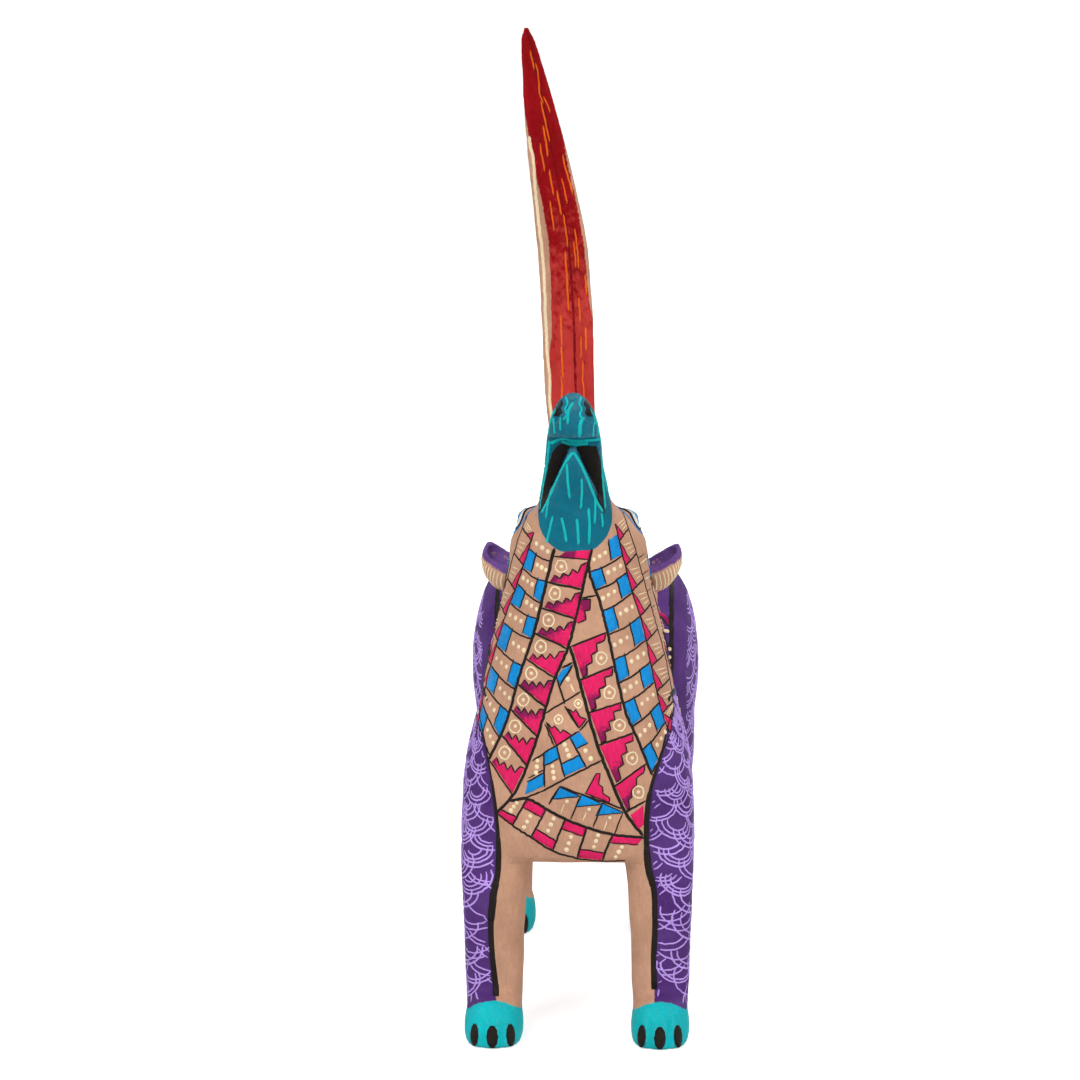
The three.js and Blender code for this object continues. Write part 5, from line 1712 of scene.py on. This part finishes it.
    def _eye(self, side: str, sign: float) -> None:
        """Paint one eye: white, blue iris, black pupil, lids and a painted highlight."""
        canvas = side_canvas(self.tree, sign)
        centre = self.EYE_CENTRE
        def oval(reach_u: float, reach_v: float) -> list[Point2]:
            return [(centre[0] + reach_u * math.cos(a) - 0.5 * reach_v * math.sin(a),
                     centre[1] + reach_v * math.sin(a) + 0.45 * reach_u * math.cos(a))
                    for a in [2 * math.pi * k / 20 for k in range(20)]]
        white = Daub(EYE_WHITE)
        white.fill(canvas, oval(4.9, 2.6), lambda u, v: 0.8, 0.8, 0.24)
        white.piece(f"eye_white_{side}")
        eye = Palette(f"eye_{side}", canvas, seed=71)
        eye.blue.fill(canvas, oval(2.5, 2.3), lambda u, v: 1.0, 0.7, 0.36)
        eye.black.dot(canvas.land(*centre), 1.35, 0.6, 1.15)
        eye.line(eye.black, oval(5.3, 2.9), 0.9, wobble=0.05, spacing=0.8, closed=True, height=0.42)
        eye.line(eye.blue, oval(6.5, 4.0), 0.8, wobble=0.08, closed=True)
        # Small cream dot up beside the pupil: a painted highlight on the eye.
        eye.cream.dot(canvas.land(centre[0] - 0.8, centre[1] + 0.9), 0.38, 0.8)
        eye.finish()


class FlankPattern:
    """Patterned bands over the neck's sides, the trunk and the back."""

    # From the top down, as (y, z); and from the middle out, as (x, distance down the spine).
    FLANK_RAILS = (((-41, 157), (-34, 138), (-29, 124), (-16, 115), (0, 111), (18, 114), (30, 122)),
                   ((-50, 154), (-43, 134), (-37, 118), (-22, 107.5), (-2, 102), (14, 103), (22, 107)),
                   ((-58, 153), (-52, 131), (-43, 112), (-29, 99), (-6, 91), (10, 91), (17, 93)),
                   ((-66, 152), (-61, 132), (-54, 116), (-36, 92), (-20, 80), (0, 78), (18, 80)))
    SPINE_RAILS = (((-5.5, 2), (-7.5, 20), (-8, 50), (-8, 80), (-5, 98)),
                   ((-10, 6), (-14, 20), (-16, 50), (-16.5, 80), (-14, 98)))

    def __init__(self, tree: BVHTree, eye: Vector) -> None:
        """Take the skin's faces and the place that the front is drawn from."""
        self.tree = tree
        self.view = eye

    def _behind(self, place: Vector, normal: Vector) -> bool:
        """Say whether a place lies behind the bib and off the sleeves."""
        if place.y > -36 * MM:
            return True
        turned = normal.dot((self.view - place).normalized()) < 0.16
        return turned and place.z > SHOULDER_TOP - 1 * MM + 0.35 * min(0.0, place.y - SHOULDER_Y)

    def paint(self) -> None:
        """Paint both flanks and the saddle of the back."""
        for side, sign in SIDES.items():
            self._flank(side, sign)
        self._nape()

    def _flank(self, side: str, sign: float) -> None:
        """Paint the bands of one side, from the neck to the haunch."""
        canvas = side_canvas(self.tree, sign)
        canvas.allowed = self._behind
        palette = Palette(f"flank_{side}", canvas, seed=81)
        painter = BandPainter(palette)
        top, upper, lower, under = self.FLANK_RAILS
        painter.band(upper, top, even(15), (Motif.FRET,))
        painter.band(lower, upper, even(15), (Motif.BLUE_DOTS, Motif.DOTS_BLUE), sag=0.6)
        painter.band(under, lower, even(15), (Motif.TRIANGLES,))
        for rail, width in ((top, 0.9), (upper, 1.0), (lower, 1.0), (under, 0.7)):
            palette.curve(palette.black, rail, width)
        palette.finish()

    def _nape(self) -> None:
        """Paint the bands that run down the nape and along the spine."""
        def ray(u: float, v: float) -> tuple[Vector, Vector]:
            start = Vector((u * MM, 110 * MM, 300 * MM))
            target = Vector((u * MM, (-44 + 0.94 * v) * MM, (168 - 0.38 * v) * MM))
            return start, (target - start).normalized()
        palette = Palette("spine", Canvas(self.tree, ray, -0.05), seed=91)
        painter = BandPainter(palette)
        left, outer_left = self.SPINE_RAILS
        right, outer_right = (tuple((-u, v) for u, v in rail) for rail in self.SPINE_RAILS)
        painter.band(left, right, even(18), (Motif.FRET, Motif.BLUE_DOTS, Motif.FRET, Motif.DOTS_BLUE))
        painter.band(outer_left, left, even(20), (Motif.DOTS, Motif.HATCH))
        painter.band(right, outer_right, even(20), (Motif.DOTS, Motif.HATCH))
        for rail, width in ((left, 1.0), (right, 1.0), (outer_left, 0.7), (outer_right, 0.7)):
            palette.curve(palette.black, rail, width)
        palette.finish()
        self._rump()

    def _rump(self) -> None:
        """Paint cream hairs and a row of dots over the rump, round the foot of the tail."""
        def ray(u: float, v: float) -> tuple[Vector, Vector]:
            return Vector((u * MM, 0.20, (128 - 0.6 * v) * MM + 0.04)), Vector((0, -1, -0.30)).normalized()
        palette = Palette("rump", Canvas(self.tree, ray, -0.1), seed=95)
        for row in range(6):
            v = 12 + 11 * row
            for k in range(9):
                u = -16 + 4 * k + (2 if row % 2 else 0)
                if row % 3 == 1:
                    palette.dot((u, v), 0.9)
                else:
                    palette.line(palette.cream, ((u, v), (u * 1.03, v + 6)), 0.7, taper=0.3)
            if row % 3 == 2:
                palette.line(palette.black, [(u, v + 8.5) for u in range(-18, 20, 3)], 0.8)
        palette.finish()


class Tail:
    """The leaf-shaped tail: red groove, tan back, orange and cream strokes."""

    # Widths of tan left at the groove's two edges: heights in metres, then widths in millimetres.
    RIM = ((0.170, 0.186, 0.194, 0.203, 0.234, 0.255, 0.280), (1.4, 1.7, 2.2, 3.5, 4.1, 2.4, 0))
    STRIP = ((0.205, 0.213, 0.235, 0.262, 0.270), (0, 1.0, 1.2, 0.9, 0))
    EMBERS_TOP = 0.222
    FOOT = 24 * MM
    # Depths, in metres, at which the tail's width is felt for.
    FEELERS = (0.060, 0.066, 0.072, 0.078, 0.082)

    def build(self) -> None:
        """Build and dress the tail's skin, then stroke it."""
        skin = CarvedSkin("tail_skin", ("tail",), voxel=0.7 * MM, swell=0.0, rounds=3,
                          held=self._held).build()
        mesh = skin.data
        crest_attribute(mesh)
        places, normals = coordinates(mesh), normals_of(mesh)
        groove = self._groove(places, normals)
        write_attribute(mesh, "groove", groove)
        write_attribute(mesh, "embers", np.minimum(groove, (self.EMBERS_TOP - places[:, 2]) * 0.006))
        # Dark red line down the middle of the groove: painted shade, standing in for the shade of the groove's
        # hollow.
        write_attribute(mesh, "painted_groove_shade", np.minimum(groove, self._painted_groove_shade(places, normals)))
        coat = GroundCoat("coat_tail", TAN, TAN_SHADE,
                          (Zone("groove", (0.37, 0.002, 0.008), (0.28, 0.001, 0.005)),
                           Zone("embers", (0.62, 0.055, 0.045), (0.50, 0.030, 0.028)),
                           # Darker reds of the painted shade line down the groove.
                           Zone("painted_groove_shade", (0.24, 0.003, 0.008), (0.18, 0.002, 0.005))), rub=0.0)
        mesh.materials.append(coat.material())
        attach(skin, TAIL_BODY)
        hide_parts("tail")
        self._strokes(BVHTree.FromObject(skin, bpy.context.evaluated_depsgraph_get()))

    def _held(self, places: np.ndarray) -> np.ndarray:
        """Hold the tenon and the thin tip."""
        low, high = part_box("tail")
        free = smooth_step(places[:, 2], low.z + 16 * MM, low.z + self.FOOT)
        return free * (places[:, 2] < high.z - 5 * MM)

    def _edges(self, places: np.ndarray) -> tuple[np.ndarray, np.ndarray]:
        """Return the least and greatest x of the leaf at each point's height."""
        steps = np.round(places[:, 2] / (2 * MM)).astype(int)
        left, right = np.full(steps.max() + 1, 1.0), np.full(steps.max() + 1, -1.0)
        np.minimum.at(left, steps, places[:, 0])
        np.maximum.at(right, steps, places[:, 0])
        return left[steps], right[steps]

    def _groove(self, places: np.ndarray, normals: np.ndarray) -> np.ndarray:
        """Return how far each point lies inside the red front, above the foot and off the tan rim."""
        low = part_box("tail")[0]
        left, right = self._edges(places)
        rim = np.interp(places[:, 2], *self.RIM)
        strip = np.interp(places[:, 2], *self.STRIP)
        front = np.minimum((-normals[:, 1] - 0.1) * 2 * MM, places[:, 0] - left - rim * MM)
        front = np.minimum(front, right - places[:, 0] - strip * MM)
        return np.minimum(front, places[:, 2] - low.z - self.FOOT)

    def _painted_groove_shade(self, places: np.ndarray, normals: np.ndarray) -> np.ndarray:
        """Return how far each point lies inside the dark line of painted shade down the groove."""
        left, right = self._edges(places)
        middle_x = (left + right) / 2 + 0.12 * (right - left)
        return np.minimum(0.38 * MM - np.abs(places[:, 0] - middle_x), (-normals[:, 1] - 0.2) * MM)

    def _strokes(self, tree: BVHTree) -> None:
        """Stroke orange flames up the groove and cream hairs over the back and the rim."""
        low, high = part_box("tail")
        ahead = Canvas(tree, lambda u, v: (Vector((u * MM, -0.2, v * MM)), Vector((0, 1, 0))), -0.25)
        behind = Canvas(tree, lambda u, v: (Vector((u * MM, 0.3, v * MM)), Vector((0, -1, 0))), -0.1)
        front = Palette("tail_front", ahead, TAIL_BODY, seed=101)
        back = Palette("tail_back", behind, TAIL_BODY, seed=102)
        span = (high.z - low.z) / MM
        for palette, daub, count, reach, length in ((front, front.orange, 34, (-0.4, 0.85), (7, 15)),
                                                    (back, back.cream, 150, (-0.9, 0.9), (5, 11))):
            for k in range(count):
                v = low.z / MM + span * (0.17 + 0.81 * (k + palette.hand.random()) / count)
                share = palette.hand.uniform(*reach)
                self._stroke(palette, daub, tree, (share, v), palette.hand.uniform(*length))
        rim = [(centre[0] - 0.84 * centre[1], v) for v in range(150, 274, 4)
               if (centre := self._middle_x(tree, v))]
        front.line(front.cream, rim, 1.25, wobble=0.1, taper=0.2)
        front.finish()
        back.finish()

    def _stroke(self, palette: Palette, daub: Daub, tree: BVHTree, start: Point2, length: float) -> None:
        """Stroke downwards from a share of the half width and a height, along the leaf."""
        share, v = start
        track = []
        for k in range(5):
            centre = self._middle_x(tree, v - length * k / 4)
            if centre:
                track.append((centre[0] + share * centre[1], v - length * k / 4))
        if len(track) > 2:
            palette.line(daub, track, 0.75, wobble=0.08, taper=0.3)

    def _middle_x(self, tree: BVHTree, v: float) -> Optional[tuple[float, float]]:
        """Return the middle and half width of the tail at a height, in millimetres."""
        hits = []
        for start, way in ((-0.1, 1), (0.1, -1)):
            for y in self.FEELERS:
                place, *_ = tree.ray_cast(Vector((start, y, v * MM)), Vector((way, 0, 0)))
                if place is not None:
                    hits.append(place.x / MM)
        if len(hits) < 2:
            return None
        return (min(hits) + max(hits)) / 2, (max(hits) - min(hits)) / 2


class Ears:
    """Two cupped ears: purple hollow, tan outside with cream stripes."""

    RIM = 2.6 * MM
    HOLLOW_SHADE = (0.2, 0.1, 0.36)
    STRIPES = 13

    def build(self) -> None:
        """Build, dress and stripe both ears."""
        hollow_zone = Zone("hollow", PURPLE_SHADE, self.HOLLOW_SHADE)
        coat = GroundCoat("coat_ears", TAN, TAN_SHADE, (hollow_zone,)).material()
        for side in SIDES:
            node, body = f"ear_{side}", f"ear_{side}_plug"
            skin = CarvedSkin(node + "_skin", (node,), voxel=0.45 * MM, swell=0.0, rounds=2).build()
            mesh = skin.data
            crest_attribute(mesh)
            joint = next(j for j in frame["joints"] if j["name"] == f"{node}_pull")
            axis = Vector(joint["axis"]).normalized()
            hollow = Vector((0, 0.25, 1))
            hollow = (hollow - axis * hollow.dot(axis)).normalized()
            places = coordinates(mesh)
            height = places @ np.array(hollow)
            facing = normals_of(mesh) @ np.array(hollow)
            top = height.max() - self.RIM
            inside = np.maximum((facing - 0.55) * MM, (height - top) * 0.5)
            write_attribute(mesh, "hollow", np.minimum(inside, (height - top + 6 * MM)))
            mesh.materials.append(coat)
            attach(skin, body)
            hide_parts(node)
            self._stripes(skin, node, axis, hollow, body)

    def _stripes(self, skin: bpy.types.Object, node: str, axis: Vector, hollow: Vector, body: str) -> None:
        """Paint cream stripes from the rim round under one ear, on both of its sides."""
        tree = BVHTree.FromObject(skin, bpy.context.evaluated_depsgraph_get())
        across = axis.cross(hollow).normalized()
        low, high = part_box(node)
        centre = (low + high) / 2
        for way in (1, -1):
            def ray(u: float, v: float) -> tuple[Vector, Vector]:
                angle = math.radians(v)
                out = across * (way * math.cos(angle)) - hollow * math.sin(angle)
                return centre + axis * u * MM + out * 0.05, -out
            part = f"{node}_stripes_{'fore' if way > 0 else 'aft'}"
            palette = Palette(part, Canvas(tree, ray, -0.02), body, seed=111)
            for k in range(self.STRIPES):
                u = -8.5 + 1.35 * k
                palette.line(palette.cream, [(u - 0.01 * a, a) for a in range(-4, 66, 7)], 0.6, wobble=0.05,
                             spacing=8, taper=0.35)
            palette.finish()


class Dowels:
    """Bare copal dowels of the lap joints, kept as the CAD made them."""

    def dress(self) -> None:
        """Give every dowel bare wood."""
        bare = GroundCoat("bare_copal_wood", (0.72, 0.56, 0.36), (0.62, 0.45, 0.27), rub=0.0, roughness=0.6)
        material = bare.material()
        for name in DOWELS:
            mesh = frame["nodes"][name].data
            mesh.materials.clear()
            mesh.materials.append(material)


# ---------------------------------------------------------------- studio


@dataclass
class Studio:
    """Camera, soft lights and a plain pale floor."""

    target: Vector = field(default_factory=lambda: Vector((0, 3.4 * MM, 0.150)))
    distance: float = 1.5
    elevation: float = math.radians(12)
    azimuth: float = math.radians(1.3)
    lens: float = 151.9
    shift: tuple[float, float] = (-0.0394, -0.0126)
    # Lights: place, power in watts and size, all in metres.
    LAMPS: ClassVar = {"key": ((-0.9, -1.3, 1.5), 21.0, 1.0), "fill": ((1.2, -1.1, 0.9), 11.0, 1.2),
                       "top": ((0.0, 0.2, 2.0), 9.0, 1.6), "rim": ((0.7, 1.3, 1.1), 7.0, 1.0)}
    # Rings of the floor from the middle out: radius and height.
    RINGS: ClassVar = ((1.2, 0.0), (2.2, 0.0), (2.7, 0.13), (3.0, 0.5), (3.1, 1.2), (3.1, 4.0))
    RING_SIDES: ClassVar[int] = 64
    FLOOR_GREYS: ClassVar = ((0.80, 0.80, 0.80), (0.83, 0.83, 0.83))
    FLOOR_GLOW: ClassVar[float] = 0.55
    WORLD_STRENGTH: ClassVar[float] = 0.50

    def eye(self) -> Vector:
        """Return where the camera stands."""
        flat = math.cos(self.elevation)
        way = Vector((math.sin(self.azimuth) * flat, -math.cos(self.azimuth) * flat,
                      math.sin(self.elevation)))
        return self.target + way * self.distance

    def camera(self) -> None:
        """Make the camera and look through it."""
        data = bpy.data.cameras.new("camera")
        data.lens = self.lens
        data.sensor_width = 36.0
        data.shift_x, data.shift_y = self.shift
        data.clip_end = 20.0
        made = bpy.data.objects.new("camera", data)
        made.location = self.eye()
        made.rotation_euler = (self.target - self.eye()).to_track_quat("-Z", "Y").to_euler()
        bpy.context.scene.collection.objects.link(made)
        bpy.context.scene.camera = made

    def floor(self) -> None:
        """Lay a pale floor that curves up into a backdrop on every side."""
        form = bmesh.new()
        previous: list[bmesh.types.BMVert] = []
        sides = self.RING_SIDES
        turn = [2 * math.pi * k / sides for k in range(sides)]
        for radius, height in self.RINGS:
            ring = [form.verts.new((radius * math.cos(a), radius * math.sin(a), height)) for a in turn]
            if previous:
                for k in range(sides):
                    n = (k + 1) % sides
                    form.faces.new((previous[k], ring[k], ring[n], previous[n]))
            else:
                form.faces.new(ring)
            previous = ring
        mesh = bpy.data.meshes.new("floor")
        form.to_mesh(mesh)
        form.free()
        shade_smooth(mesh)
        material = bpy.data.materials.new("pale_floor")
        material.use_nodes = True
        w = Wiring(material.node_tree)
        shader = material.node_tree.nodes["Principled BSDF"]
        place = w.add("ShaderNodeTexCoord").outputs["Object"]
        w.join(w.mix(w.noise(place, 3.0, 2.0), *self.FLOOR_GREYS), shader.inputs["Base Color"])
        shader.inputs["Roughness"].default_value = 0.8
        shader.inputs["Emission Strength"].default_value = self.FLOOR_GLOW
        seen = w.add("ShaderNodeLightPath").outputs["Is Camera Ray"]
        w.join(w.mix(seen, (0.0, 0.0, 0.0), (1.0, 1.0, 1.0)), shader.inputs["Emission Color"])
        mesh.materials.append(material)
        new_object("floor", mesh)

    def light(self, name: str, place: tuple[float, float, float], power: float, size: float) -> None:
        """Hang one soft square light that looks at the figure."""
        data = bpy.data.lights.new(name, "AREA")
        data.energy = power
        data.size = size
        made = bpy.data.objects.new(name, data)
        made.location = place
        made.rotation_euler = (self.target - Vector(place)).to_track_quat("-Z", "Y").to_euler()
        bpy.context.scene.collection.objects.link(made)

    def set_up(self) -> None:
        """Place everything and choose plain colour."""
        self.camera()
        self.floor()
        for name, lamp in self.LAMPS.items():
            self.light(name, *lamp)
        world = bpy.data.worlds.new("studio")
        world.use_nodes = True
        sky = world.node_tree.nodes["Background"]
        sky.inputs["Color"].default_value = (1.0, 1.0, 1.0, 1.0)
        sky.inputs["Strength"].default_value = self.WORLD_STRENGTH
        bpy.context.scene.world = world
        bpy.context.scene.view_settings.view_transform = "Standard"


def main() -> None:
    """Build the studio, the skins and their brushwork, in that order."""
    logging.basicConfig(level=logging.INFO, format="%(message)s")
    studio = Studio()
    studio.set_up()
    carving = Carving()
    carving.build()
    Coyote(carving).dress()
    eye = studio.eye()
    ChestPattern(front_canvas(carving.tree, eye)).paint()
    Sleeves(carving.tree).paint()
    Muzzle(carving.tree, eye).paint()
    FlankPattern(carving.tree, eye).paint()
    Tail().build()
    Ears().build()
    Dowels().dress()


if __name__ == "__main__":
    main()
